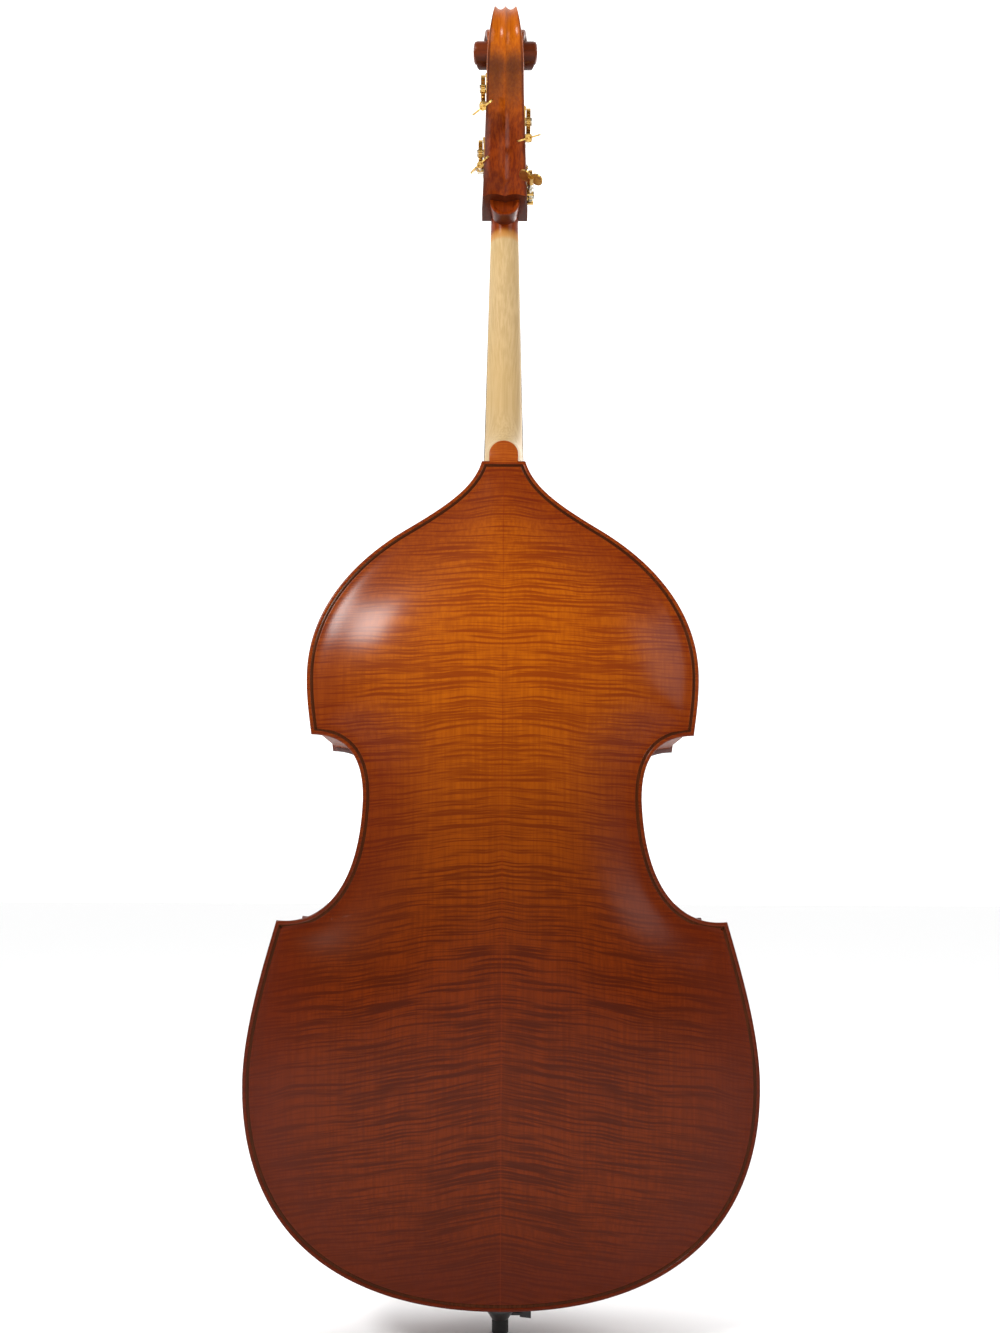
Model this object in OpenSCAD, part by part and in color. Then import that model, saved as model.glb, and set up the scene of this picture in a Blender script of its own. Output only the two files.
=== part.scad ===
// Double bass, three-quarter size: carved top and round back, six ribs, plate tuning machines
// and a sliding endpin. Millimetres, +Z up, the top faces -Y, origin at the tip of the endpin.

/* [Outline] */
// Length of the body from its lower edge to the heel
body_len = 1110; // [950:5:1340]
// Widest point of the lower bout
lower_bout_w = 660; // [600:5:800]
// Height of the widest point of the lower bout
lower_bout_h = 282; // [240:1:340]
// Width over the lower corners
lower_corner_w = 582; // [500:2:700]
// Height of the lower corners
lower_corner_h = 485; // [440:1:540]
// Narrowest width of the waist
waist_w = 364; // [300:2:440]
// Height of the narrowest point of the waist
waist_h = 642; // [600:1:680]
// Width over the upper corners
upper_corner_w = 502; // [440:2:600]
// Height of the upper corners
upper_corner_h = 727; // [700:1:770]
// Widest point of the upper bout
upper_bout_w = 518; // [460:2:620]
// Height of the widest point of the upper bout
upper_bout_h = 808; // [790:1:850]
// Width of the body at the heel
heel_w = 60; // [56:1:72]

/* [Plates and ribs] */
// Depth of the ribs at the lower bout
rib_depth = 190; // [160:1:230]
// How much shallower the ribs are at the heel
rib_taper = 34; // [10:1:50]
// Thickness of the ribs
rib_t = 2.2; // [1.8:0.1:3.5]
// How far the plates stand out over the ribs
overhang = 6; // [4:0.5:9]
// Thickness of the plates
plate_t = 7; // [5.5:0.5:10]
// Rounding of the outer edge
edge_round = 1.5; // [0.5:0.25:2]
// Height of the back's arch over its edge
back_arch = 36; // [20:1:50]
// Height of the top's arch over its edge
top_arch = 28; // [20:1:45]
// Distance of the purfling from the edge
purfling_inset = 5; // [4:0.5:12]
// Width of the purfling
purfling_w = 4; // [3:0.5:6]
// Depth of the purfling's groove
purfling_depth = 1.5; // [1:0.25:2.5]
// Width of the linings
lining_w = 16; // [10:1:22]
// Thickness of the linings
lining_t = 4; // [3:0.5:6]
// Diameter of the soundpost
soundpost_d = 18; // [15:1:22]
// Size of the button on the back, half its width
button_r = 20; // [16:1:24]
// Height of the button
button_h = 30; // [24:1:36]

/* [Neck and head] */
// Length of the neck from the body's edge to the nut
neck_len = 425; // [350:5:510]
// Slope of the neck away from the top, in degrees
neck_angle = 9; // [7:0.5:10]
// Height of the fingerboard's seat over the ribs at the body's edge
overstand = 37; // [30:1:46]
// Width of the neck at the nut
neck_w = 41; // [36:1:48]
// Width of the neck at the body
neck_foot_w = 62; // [52:1:64]
// Thickness of the neck behind the fingerboard at the nut
neck_t = 27; // [22:1:33]
// Tilt of the pegbox from upright, in degrees
head_tilt = 26; // [20:1:28]
// Width of the pegbox at the nut
pegbox_w = 69; // [64:1:80]
// Width of the pegbox below the scroll
pegbox_top_w = 54; // [50:1:60]
// Length of the pegbox
pegbox_len = 190; // [180:1:220]
// Depth of the pegbox at the nut
pegbox_depth = 58; // [54:1:66]
// Thickness of the pegbox's cheeks
cheek_t = 13; // [10:0.5:15]
// Radius of the scroll
scroll_r = 56; // [50:1:60]
// Width over the scroll's eyes
scroll_w = 92; // [80:1:104]

/* [Fingerboard and strings] */
// Length of the fingerboard
board_len = 850; // [800:5:880]
// Width of the fingerboard at its lower end
board_end_w = 89; // [80:1:96]
// Thickness of the fingerboard at its sides
board_side_t = 8; // [6:0.5:11]
// Height of the fingerboard's arch at the nut
board_arch_nut = 3.5; // [2:0.5:5]
// Height of the fingerboard's arch at its lower end
board_arch_end = 15; // [10:0.5:17]
// Length of the nut along the neck
nut_len = 8; // [6:0.5:12]
// Space between strings at the nut
nut_pitch = 10.3; // [9:0.1:11.5]
// Space between strings at the bridge
bridge_pitch = 29; // [26:0.5:32]
// Height of the bridge's feet above the body's lower edge
bridge_h = 500; // [470:1:540]
// Height of the strings over the fingerboard's seat line, measured at the bridge
string_rise = 42; // [38:1:50]
// Radius of the bridge's top
bridge_r = 75; // [70:1:95]
// Thickness of the bridge at its feet
bridge_t = 22; // [16:1:26]
// Width over the bridge's feet
bridge_w = 150; // [140:1:165]
// Length of the tailpiece
tailpiece_len = 330; // [290:5:350]
// Width of the tailpiece at the strings
tailpiece_w = 100; // [92:1:112]
// Diameter of the tail wire
tail_wire_d = 4; // [3:0.5:5]

/* [Tuning machines] */
// Teeth on each gear
gear_teeth = 22; // [20:1:24]
// Module of the gear teeth
gear_module = 1.45; // [1.3:0.05:1.5]
// Thickness of each gear
gear_t = 6; // [4:0.5:7]
// Radius of the worm at its pitch line
worm_r = 4.9; // [4.6:0.1:5.2]
// Diameter of the posts
post_d = 11; // [9:0.5:12]
// Running clearance of posts and worms, on the radius
run_gap = 0.06; // [0.02:0.01:0.1]
// Thickness of the machine plates
machine_plate_t = 1.6; // [1:0.1:2.5]
// Width of each key's two wings
key_w = 36; // [28:1:42]
// Thickness of each key
key_t = 2.2; // [1.5:0.1:3]

/* [Endpin] */
// Height of the body's lower edge over the endpin's tip
tip_drop = 62; // [56:1:75]
// Diameter of the endpin's rod
rod_d = 10; // [8:0.5:12]
// Length of the endpin's rod
rod_len = 340; // [280:5:380]
// Diameter of the rubber tip
tip_d = 22; // [18:1:26]
// Height of the rubber tip
tip_h = 18; // [14:0.5:19]
// Diameter of the collar
collar_d = 38; // [34:1:44]

/* [Hidden] */
$fn = 48;

VARNISH = "#8f3b12";
VARNISH_DARK = "#5a200c";
MAPLE = "#d9b877";
SPRUCE = "#b5671f";
EBONY = "#1c1614";
BRASS = "#b8902f";
STEEL = "#b9b9b5";

// ---- small helpers ----

function lerp(a, b, t) = a + (b - a) * t;
function last(list) = list[len(list) - 1];
function inner(list) = [for (i = [1:len(list) - 2]) list[i]];

// Point and direction on a cubic curve with control points p
function bez(p, t) =
    pow(1 - t, 3) * p[0] + 3 * t * pow(1 - t, 2) * p[1] + 3 * t * t * (1 - t) * p[2] + pow(t, 3) * p[3];
function bez_dir(p, t) =
    pow(1 - t, 2) * (p[1] - p[0]) + 2 * t * (1 - t) * (p[2] - p[1]) + t * t * (p[3] - p[2]);

function sum(list, i = 0) = i == len(list) - 1 ? list[i] : list[i] + sum(list, i + 1);
function mean(list) = sum(list) / len(list);

// A closed solid through a row of outlines that all have the same number of points. The
// outlines may run either way round.
module loft(rings) {
    n = len(rings[0]);
    m = len(rings);
    points = [for (ring = rings) each ring];
    mid = floor(m / 2);
    facing = sum([for (j = [0:n - 1]) cross(rings[mid][j], rings[mid][(j + 1) % n])]);
    way = facing * (mean(rings[mid]) - mean(rings[mid - 1])) > 0 ? 1 : -1;
    faces = concat(
        [
            for (i = [0:m - 2], j = [0:n - 1])
                let (a = i * n + j, b = i * n + (j + 1) % n)
                each [[a, a + n, b], [b, a + n, b + n]]
        ],
        [[for (j = [0:n - 1]) j]],
        [[for (j = [n - 1:-1:0]) (m - 1) * n + j]]
    );
    polyhedron(points, way > 0 ? faces : [for (f = faces) [for (j = [len(f) - 1:-1:0]) f[j]]]);
}

// A round rod along a list of points, with `sides` flats
module rod_along(path, r, sides = 8) {
    m = len(path);
    loft([
        for (i = [0:m - 1])
            let (
                before = path[max(i - 1, 0)],
                after = path[min(i + 1, m - 1)],
                d = (after - before) / norm(after - before),
                side = cross(d, [0, 0.2, 1]),
                u = side / norm(side),
                v = cross(d, u)
            )
            [for (k = [0:sides - 1]) path[i] + r * (cos(360 * k / sides) * u + sin(360 * k / sides) * v)]
    ]);
}

module both_sides() {
    children();
    mirror([1, 0, 0]) children();
}

// ---- outline of the body ----
// Everything on the body is laid out as [x, s]: x across, s up from the lower edge.

lower_x = lower_bout_w / 2;
lower_corner_x = lower_corner_w / 2;
waist_x = waist_w / 2;
upper_corner_x = upper_corner_w / 2;
upper_x = upper_bout_w / 2;
heel_x = heel_w / 2;

lower_bout_curves = [
    [
        [0, 0], [0.62 * lower_x, 0],
        [lower_x, 0.34 * lower_bout_h], [lower_x, lower_bout_h]
    ],
    [
        [lower_x, lower_bout_h], [lower_x, lerp(lower_bout_h, lower_corner_h, 0.33)],
        [lerp(lower_x, lower_corner_x, 0.62), lerp(lower_bout_h, lower_corner_h, 0.73)],
        [lower_corner_x, lower_corner_h]
    ]
];
waist_curves = [
    [
        [lower_corner_x, lower_corner_h],
        [lerp(waist_x, lower_corner_x, 0.51), lerp(lower_corner_h, waist_h, -0.04)],
        [lerp(waist_x, lower_corner_x, 0.03), lerp(lower_corner_h, waist_h, 0.21)],
        [waist_x, waist_h]
    ],
    [
        [waist_x, waist_h], [waist_x, lerp(waist_h, upper_corner_h, 0.68)],
        [lerp(waist_x, upper_corner_x, 0.33), lerp(waist_h, upper_corner_h, 0.99)],
        [upper_corner_x, upper_corner_h]
    ]
];
upper_bout_curves = [
    [
        [upper_corner_x, upper_corner_h],
        [lerp(upper_corner_x, upper_x, 0.35), lerp(upper_corner_h, upper_bout_h, 0.26)],
        [upper_x, lerp(upper_corner_h, upper_bout_h, 0.6)],
        [upper_x, upper_bout_h]
    ],
    [
        [upper_x, upper_bout_h], [upper_x, lerp(upper_bout_h, body_len, 0.27)],
        [lerp(heel_x, upper_x, 0.786), lerp(upper_bout_h, body_len, 0.503)],
        [lerp(heel_x, upper_x, 0.433), lerp(upper_bout_h, body_len, 0.672)]
    ],
    [
        [lerp(heel_x, upper_x, 0.433), lerp(upper_bout_h, body_len, 0.672)],
        [lerp(heel_x, upper_x, 0.193), lerp(upper_bout_h, body_len, 0.788)],
        [lerp(heel_x, upper_x, 0.044), lerp(upper_bout_h, body_len, 0.874)],
        [heel_x, body_len]
    ]
];

// Each entry is [point, inward direction]
function edge_point(p, t) =
    let (d = bez_dir(p, t)) [bez(p, t), [-d[1], d[0]] / norm(d)];
function edge_run(curves, steps) = concat(
    [edge_point(curves[0], 0)],
    [for (c = [0:len(curves) - 1], i = [1:steps[c]]) edge_point(curves[c], i / steps[c])]
);
// At a corner the inward direction is the mitre of the two edges that meet there
function mitre(a, b) = [a[0], (a[1] + b[1]) / (1 + a[1] * b[1])];

lower_run = edge_run(lower_bout_curves, [10, 5]);
waist_run = edge_run(waist_curves, [7, 5]);
upper_run = edge_run(upper_bout_curves, [3, 7, 4]);
heel_edge = [[heel_x, body_len], [0, -1]];
lower_corner = mitre(last(lower_run), waist_run[0]);
upper_corner = mitre(last(waist_run), upper_run[0]);
heel_corner = mitre(last(upper_run), heel_edge);

lower_edge = concat([lower_run[0]], inner(lower_run), [lower_corner]);
waist_edge = concat([lower_corner], inner(waist_run), [upper_corner]);
upper_edge = concat([upper_corner], inner(upper_run), [heel_corner]);
half_edge = concat(
    [lower_run[0]], inner(lower_run), waist_edge, inner(upper_run), [heel_corner],
    [[[0, body_len], [0, -1]]]
);
edge_steps = len(half_edge) - 1;

function inset(e, d) = e[0] + d * e[1];

// ---- depth of the body ----

front_y = -rib_depth / 2;
glue_gap = 0.3;
taper_power = 1.5;
// Back edge of the ribs: straight up to the upper corners, then bending towards the top
function back_y(s) =
    rib_depth / 2
    - rib_taper * pow(max(0, s - upper_corner_h) / (body_len - upper_corner_h), taper_power);
heel_back_slope = atan(rib_taper * taper_power / (body_len - upper_corner_h));

// A body point from its place on the outline and its depth
function at(xs, y) = [xs[0], y, xs[1] + tip_drop];

// ---- plates ----

arch_rows = 6;
flat_w = purfling_inset + purfling_w + 1.5;
// The ridge of the arch ends this far from either end of the body
ridge_gap = 170;
ridge_end_share = 0.62;

function arch_share(u) = (1 - cos(180 * pow(u, 0.9))) / 2;
function ridge_point(i) = [0, lerp(ridge_gap, body_len - ridge_gap, i / edge_steps)];
function ridge_share(i) = ridge_end_share + (1 - ridge_end_share) * sin(180 * i / edge_steps);
function row_point(i, u) = lerp(inset(half_edge[i], flat_w), ridge_point(i), u);

// Places where a plate's rows cross the line x across from the joint, as [s, arch height there]
function arch_line(x, arch) = [
    for (i = [1:edge_steps - 1])
        let (e = inset(half_edge[i], flat_w), u = 1 - x / e[0])
        if (e[0] > x) [lerp(e[1], ridge_point(i)[1], u), arch * ridge_share(i) * arch_share(u)]
];
function arch_at(x, s, arch) = lookup(s, arch_line(x, arch));

// Section of a plate from its edge to the centre joint, as [[x, s], height over the ribs]
function plate_section(i, arch) =
    let (e = half_edge[i], h = arch * ridge_share(i), groove = plate_t - purfling_depth)
    concat(
        [
            [inset(e, 0), 0],
            [inset(e, 0), plate_t - edge_round],
            [inset(e, edge_round), plate_t],
            [inset(e, purfling_inset), plate_t],
            [inset(e, purfling_inset), groove],
            [inset(e, purfling_inset + purfling_w), groove],
            [inset(e, purfling_inset + purfling_w), plate_t]
        ],
        [for (k = [0:arch_rows]) [row_point(i, k / arch_rows), plate_t + h * arch_share(k / arch_rows)]],
        [for (k = [arch_rows:-1:0]) [row_point(i, k / arch_rows), h * arch_share(k / arch_rows)]]
    );

// The half at +X. The back rises towards +Y and the top towards -Y.
module back_half() {
    loft([
        for (i = [0:edge_steps])
            [for (p = plate_section(i, back_arch)) at(p[0], back_y(p[0][1]) + p[1])]
    ]);
}

module top_half() {
    loft([
        for (i = [0:edge_steps])
            [for (p = plate_section(i, top_arch)) at(p[0], front_y - p[1])]
    ]);
}

function purfling_section(i) =
    let (
        near = inset(half_edge[i], purfling_inset),
        far = inset(half_edge[i], purfling_inset + purfling_w),
        groove = plate_t - purfling_depth
    )
    [[near, groove], [near, plate_t], [far, plate_t], [far, groove]];

button_root = 3;
module button_half() {
    translate([0, back_y(body_len), body_len + tip_drop])
        rotate([heel_back_slope, 0, 0])
            translate([0, plate_t, 0])
                rotate([90, 0, 0])
                    linear_extrude(plate_t)
                        intersection() {
                            union() {
                                translate([0, button_h - button_r]) circle(button_r);
                                translate([-button_r, -button_root])
                                    square([2 * button_r, button_h - button_r + button_root]);
                            }
                            translate([0, -button_root]) square([button_r, 2 * button_h]);
                        }
}

module f_eye(r) {
    polygon([for (a = [0:20:340]) r * [cos(a), sin(a)]]);
}

module f_hole() {
    // Centre line of the stem, between the two eyes
    stem = [[78, 588], [58, 540], [128, 450], [108, 402]];
    steps = 12;
    function stem_w(t) = 4 + 4.5 * sin(180 * t);
    left = [for (i = [0:steps]) let (e = edge_point(stem, i / steps)) e[0] + stem_w(i / steps) * e[1]];
    right = [for (i = [steps:-1:0]) let (e = edge_point(stem, i / steps)) e[0] - stem_w(i / steps) * e[1]];
    translate([0, front_y + 5, tip_drop])
        rotate([90, 0, 0])
            linear_extrude(plate_t + top_arch + 10) {
                polygon(concat(left, right));
                translate([70, 585]) f_eye(11);
                translate([117, 403]) f_eye(14);
            }
}

module top_half_cut() {
    difference() {
        top_half();
        f_hole();
    }
}

module back_treble_half() {
    color(VARNISH) {
        back_half();
        button_half();
    }
}

module back_bass_half() {
    color(VARNISH) mirror([1, 0, 0]) {
        back_half();
        button_half();
    }
}

module top_treble_half() {
    color(SPRUCE) top_half_cut();
}

module top_bass_half() {
    color(SPRUCE) mirror([1, 0, 0]) top_half_cut();
}

module back_purfling() {
    color(VARNISH_DARK) both_sides()
        loft([
            for (i = [0:edge_steps])
                [for (p = purfling_section(i)) at(p[0], back_y(p[0][1]) + p[1])]
        ]);
}

module top_purfling() {
    color(VARNISH_DARK) both_sides()
        loft([
            for (i = [0:edge_steps])
                [for (p = purfling_section(i)) at(p[0], front_y - p[1])]
        ]);
}

// ---- ribs, linings and blocks ----

rib_in = overhang + rib_t;

// A strip that follows an edge, between two insets, from front to back
module rib_strip(edge) {
    loft([
        for (e = edge)
            let (out = inset(e, overhang), in = inset(e, rib_in))
            [
                at(out, front_y), at(in, front_y),
                at(in, back_y(in[1]) - glue_gap), at(out, back_y(out[1]) - glue_gap)
            ]
    ]);
}

plug_d = 30;
module collar_hole() {
    translate([0, 0, tip_drop - 1]) cylinder(d = plug_d + 0.2, h = 90);
}

module lower_rib() {
    difference() {
        rib_strip(lower_edge);
        collar_hole();
    }
}

module lower_rib_treble() {
    color(VARNISH) lower_rib();
}

module lower_rib_bass() {
    color(VARNISH) mirror([1, 0, 0]) lower_rib();
}

module waist_rib_treble() {
    color(VARNISH) rib_strip(waist_edge);
}

module waist_rib_bass() {
    color(VARNISH) mirror([1, 0, 0]) rib_strip(waist_edge);
}

module upper_rib_treble() {
    color(VARNISH) rib_strip(upper_edge);
}

module upper_rib_bass() {
    color(VARNISH) mirror([1, 0, 0]) rib_strip(upper_edge);
}

// The hollow inside the ribs, kept a little clear of them
block_gap = 0.3;
block_in = rib_in + block_gap;
module inside_of_ribs() {
    half = [for (e = half_edge) inset(e, block_in)];
    flipped = [for (i = [len(half) - 2:-1:1]) [-half[i][0], half[i][1]]];
    steps = 12;
    side = concat(
        [[front_y, 0], [front_y, body_len], [back_y(body_len) - glue_gap, body_len]],
        [for (i = [1:steps]) let (s = lerp(body_len, upper_corner_h, i / steps)) [back_y(s) - 2 * glue_gap, s]],
        [[back_y(0) - 2 * glue_gap, 0]]
    );
    intersection() {
        translate([0, 200, tip_drop]) rotate([90, 0, 0]) linear_extrude(400) polygon(concat(half, flipped));
        translate([-500, 0, tip_drop]) rotate([90, 0, 90]) linear_extrude(1000) polygon(side);
    }
}

neck_block_w = 110;
neck_block_h = 62;
tenon_w = 2 * (heel_x - rib_in) - 3;
tenon_len = 34;
tenon_gap = 0.1;
end_block_w = 120;
end_block_h = 52;
corner_block = 52;

module tenon(gap) {
    translate([-tenon_w / 2 - gap, front_y + 6 - gap, tip_drop + body_len - tenon_len - gap])
        cube([tenon_w + 2 * gap, rib_depth - rib_taper - 12 + 2 * gap, tenon_len + 2 * gap]);
}

module neck_block() {
    color(MAPLE) difference() {
        intersection() {
            translate([-neck_block_w / 2, -rib_depth, tip_drop + body_len - neck_block_h - block_in])
                cube([neck_block_w, 2 * rib_depth, neck_block_h]);
            inside_of_ribs();
        }
        tenon(tenon_gap);
    }
}

module end_block() {
    color(MAPLE) difference() {
        intersection() {
            translate([-end_block_w / 2, -rib_depth, tip_drop])
                cube([end_block_w, 2 * rib_depth, end_block_h]);
            inside_of_ribs();
        }
        collar_hole();
    }
}

module corner_block_at(x, s) {
    intersection() {
        translate([x - corner_block, -rib_depth, tip_drop + s - corner_block / 2])
            cube([corner_block, 2 * rib_depth, corner_block]);
        inside_of_ribs();
    }
}

module corner_blocks() {
    color(MAPLE) both_sides() {
        corner_block_at(lower_corner_x, lower_corner_h - 10);
        corner_block_at(upper_corner_x, upper_corner_h + 8);
    }
}

// Lining strips run between the blocks
module lining_strip(edge, y_of, dir) {
    loft([
        for (e = edge)
            let (out = inset(e, rib_in), in = inset(e, rib_in + lining_t), y1 = y_of(out[1]), y2 = y_of(in[1]))
            dir > 0
                ? [at(out, y1), at(in, y2), at(in, y2 + lining_w), at(out, y1 + lining_w)]
                : [at(out, y1 - lining_w), at(in, y2 - lining_w), at(in, y2), at(out, y1)]
    ]);
}

function part_of(edge, a, b) = [for (i = [a:len(edge) - 1 - b]) edge[i]];

module linings(y_of, dir) {
    color(MAPLE) both_sides() {
        lining_strip(part_of(lower_edge, 4, 2), y_of, dir);
        lining_strip(part_of(waist_edge, 4, 4), y_of, dir);
        lining_strip(part_of(upper_edge, 3, 4), y_of, dir);
    }
}

module front_linings() {
    linings(function(s) front_y, 1);
}

module back_linings() {
    linings(function(s) back_y(s) - 2 * glue_gap, -1);
}

// ---- bass bar and soundpost ----

bar_x = 58;
bar_w = 18;
bar_low = 200;
bar_high = 880;
bar_depth = 22;
post_drop = 18;

// Both reach halfway into the plates and are cut off by them
module bass_bar() {
    line = [for (p = arch_line(bar_x, top_arch)) if (p[0] > bar_low && p[0] < bar_high) p];
    n = len(line) - 1;
    color(MAPLE) mirror([1, 0, 0]) difference() {
        loft([
            for (i = [0:n])
                let (
                    y = front_y - line[i][1] - plate_t / 2,
                    depth = plate_t / 2 + bar_depth * sin(15 + 150 * i / n)
                )
                [
                    for (p = [[-0.5, 0], [0.5, 0], [0.5, depth], [-0.5, depth]])
                        at([bar_x + p[0] * bar_w, line[i][0]], y + p[1])
                ]
        ]);
        top_half();
    }
}

module soundpost() {
    s = bridge_h - post_drop;
    front = front_y - arch_at(bar_x, s, top_arch) - plate_t / 2;
    back = back_y(s) + arch_at(bar_x, s, back_arch) + plate_t / 2;
    color(MAPLE) difference() {
        translate([bar_x, front, tip_drop + s]) rotate([-90, 0, 0]) cylinder(d = soundpost_d, h = back - front);
        top_half();
        back_half();
    }
}

// ---- neck and head ----

neck_slope = tan(neck_angle);
seat_y0 = front_y - overstand;
// Where the fingerboard sits on the neck, at height s over the body's lower edge
function seat_y(s) = seat_y0 + (s - body_len) * neck_slope;
nut_s = body_len + neck_len;
function neck_width(s) = lerp(neck_foot_w, neck_w, (s - body_len) / neck_len);

heel_depth = back_y(body_len) - seat_y0 + 1;
// Height over the heel, thickness, and how round the back of the section is (0 flat, 1 round)
neck_stations = [
    [0, heel_depth, 0.35],
    [button_h + 2, heel_depth - 6 + 5 * neck_slope - button_h * tan(heel_back_slope), 0.4],
    [button_h + 12, 0.78 * heel_depth, 0.55],
    [button_h + 26, 0.56 * heel_depth, 0.7],
    [button_h + 46, 0.38 * heel_depth, 0.85],
    [button_h + 72, 0.26 * heel_depth, 1],
    [button_h + 105, neck_t + 11, 1],
    [button_h + 150, neck_t + 7, 1],
    [lerp(button_h + 150, neck_len, 0.5), neck_t + 4, 1],
    [neck_len - 24, neck_t, 1],
    [neck_len - 3, neck_t + 2, 1]
];

function neck_ring(station) =
    let (
        s = body_len + station[0],
        w = neck_width(s) / 2,
        flat = 0.62 * w * (1 - station[2]),
        side = min(6, station[1] / 4),
        bulge = station[1] - side
    )
    concat(
        [[-w, seat_y(s), s + tip_drop], [w, seat_y(s), s + tip_drop]],
        [
            for (a = [0:15:180])
                let (across = cos(a) >= 0 ? 1 : -1)
                [
                    (abs(a - 90) < 1 ? 0 : across * flat) + (w - flat) * cos(a),
                    seat_y(s) + side + bulge * sin(a),
                    s + tip_drop
                ]
        ]
    );

// Head frame: origin at the nut end of the fingerboard's seat, Y back and Z along the pegbox
module in_head() {
    translate([0, seat_y(nut_s), nut_s + tip_drop])
        rotate([-head_tilt, 0, 0])
            children();
}

// Turns a drawing of [back, up] into a slab of width w, centred on the middle of the head
module slab(w) {
    translate([-w / 2, 0, 0]) rotate([90, 0, 90]) linear_extrude(w) children();
}

scroll_c = [15, pegbox_len + 28];
throat_depth = pegbox_depth - 4;
ledge_h = pegbox_depth * tan(head_tilt);

module scroll_outline() {
    polygon([
        for (a = [-50:10:270])
            let (r = scroll_r * (a < 60 ? 1 - 0.06 * (60 - a) / 110 : 1 - 0.32 * (a - 60) / 210))
            scroll_c + r * [cos(a), sin(a)]
    ]);
}

module pegbox_outline() {
    back = [
        [pegbox_depth, ledge_h], [pegbox_depth, 0.34 * pegbox_len],
        [pegbox_depth - 10, 0.5 * pegbox_len], [pegbox_depth - 11, 0.68 * pegbox_len]
    ];
    throat = [
        back[3], [pegbox_depth - 12, 0.84 * pegbox_len],
        [pegbox_depth - 6, 0.92 * pegbox_len], scroll_c + 0.95 * scroll_r * [cos(-25), sin(-25)]
    ];
    steps = 6;
    polygon(concat(
        [[0, -2 * tan(head_tilt)], [pegbox_depth, ledge_h]],
        [for (i = [1:steps]) bez(back, i / steps)],
        [for (i = [1:steps]) bez(throat, i / steps)],
        [scroll_c, [0, scroll_c[1]]]
    ));
}

// Half the width of the head seen from behind, at height k along the pegbox
function cheek_x(k) =
    k < pegbox_len ? lerp(pegbox_w, pegbox_top_w, max(0, k - ledge_h) / (pegbox_len - ledge_h)) / 2
    : pegbox_top_w / 2 - 11 * pow((k - pegbox_len) / (28 + scroll_r), 1.6);

module head_front_outline() {
    ks = [
        -5, ledge_h, pegbox_len / 2, pegbox_len,
        pegbox_len + 25, pegbox_len + 45, pegbox_len + 65, pegbox_len + 90
    ];
    n = len(ks);
    polygon(concat(
        [for (k = ks) [cheek_x(k), k]],
        [for (i = [n - 1:-1:0]) [-cheek_x(ks[i]), ks[i]]]
    ));
}

cavity_start = 4;
cavity_end = pegbox_len - 12;
cavity_floor = throat_depth - 15;

module pegbox_cavity() {
    slope = 26;
    intersection() {
        slab(pegbox_w)
            polygon([
                [-20, cavity_start], [2, cavity_start],
                [pegbox_depth - 16, slope], [pegbox_depth - 13, slope + 20],
                [cavity_floor, 0.55 * pegbox_len], [cavity_floor - 3, cavity_end], [-20, cavity_end + 6]
            ]);
        translate([0, pegbox_depth, 0])
            rotate([90, 0, 0])
                linear_extrude(2 * pegbox_depth)
                    polygon([
                        [-cheek_x(0) + cheek_t, -10], [cheek_x(0) - cheek_t, -10],
                        [cheek_x(pegbox_len) - cheek_t, pegbox_len], [-cheek_x(pegbox_len) + cheek_t, pegbox_len]
                    ]);
    }
}

module chin() {
    // The half-round shield below the ledge, behind the top of the neck
    chin_w = neck_w + 3;
    translate([0, seat_y(nut_s) + pegbox_depth * cos(head_tilt), nut_s + tip_drop])
        rotate([90, 0, 0])
            linear_extrude(pegbox_depth * cos(head_tilt) - 8)
                intersection() {
                    circle(chin_w / 2);
                    translate([-chin_w / 2, -chin_w / 2]) square([chin_w, chin_w / 2 + 6]);
                }
}

module head() {
    middle_turn_r = 29;
    middle_turn_w = 59;
    eye_r = 17.5;
    in_head() {
        intersection() {
            slab(pegbox_w + 2) union() {
                pegbox_outline();
                scroll_outline();
            }
            translate([0, 200, 0]) rotate([90, 0, 0]) linear_extrude(400) head_front_outline();
        }
        for (turn = [[middle_turn_r, middle_turn_w], [eye_r, scroll_w]])
            translate([-turn[1] / 2, scroll_c[0], scroll_c[1]])
                rotate([0, 90, 0]) cylinder(r = turn[0], h = turn[1]);
    }
    chin();
}

module neck() {
    color(VARNISH) difference() {
        union() {
            loft([for (st = neck_stations) neck_ring(st)]);
            head();
            tenon(0);
        }
        in_head() {
            pegbox_cavity();
            for (m = MACHINES) at_machine(m) machine_cuts(m);
        }
        both_sides() button_half();
    }
}

module fingerboard() {
    function board_ring(s) =
        let (
            t = (nut_s - s) / board_len,
            w = lerp(neck_w, board_end_w, t) / 2,
            arch = lerp(board_arch_nut, board_arch_end, t),
            y = seat_y(s) - 0.1
        )
        concat(
            [[w, y, s + tip_drop], [-w, y, s + tip_drop]],
            [for (i = [0:12]) let (x = -1 + i / 6) [w * x, y - board_side_t - arch * (1 - x * x), s + tip_drop]]
        );
    color(EBONY) loft([board_ring(nut_s - board_len), board_ring(nut_s)]);
}

board_top_nut = board_side_t + board_arch_nut;
nut_lift = 1.5;
module nut() {
    color(EBONY) difference() {
        translate([-neck_w / 2, seat_y(nut_s), nut_s + tip_drop])
            rotate([-neck_angle, 0, 0])
                translate([0, 0, 0.1])
                    rotate([0, 90, 0])
                        linear_extrude(neck_w)
                            polygon([
                                [0, 0], [0, -board_top_nut - nut_lift + 3], [-1.5, -board_top_nut - nut_lift],
                                [-nut_len + 2, -board_top_nut - nut_lift], [-nut_len, -6], [-nut_len, 0]
                            ]);
        string_grooves();
    }
}

saddle_w = 56;
saddle_len = 13;

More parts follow.
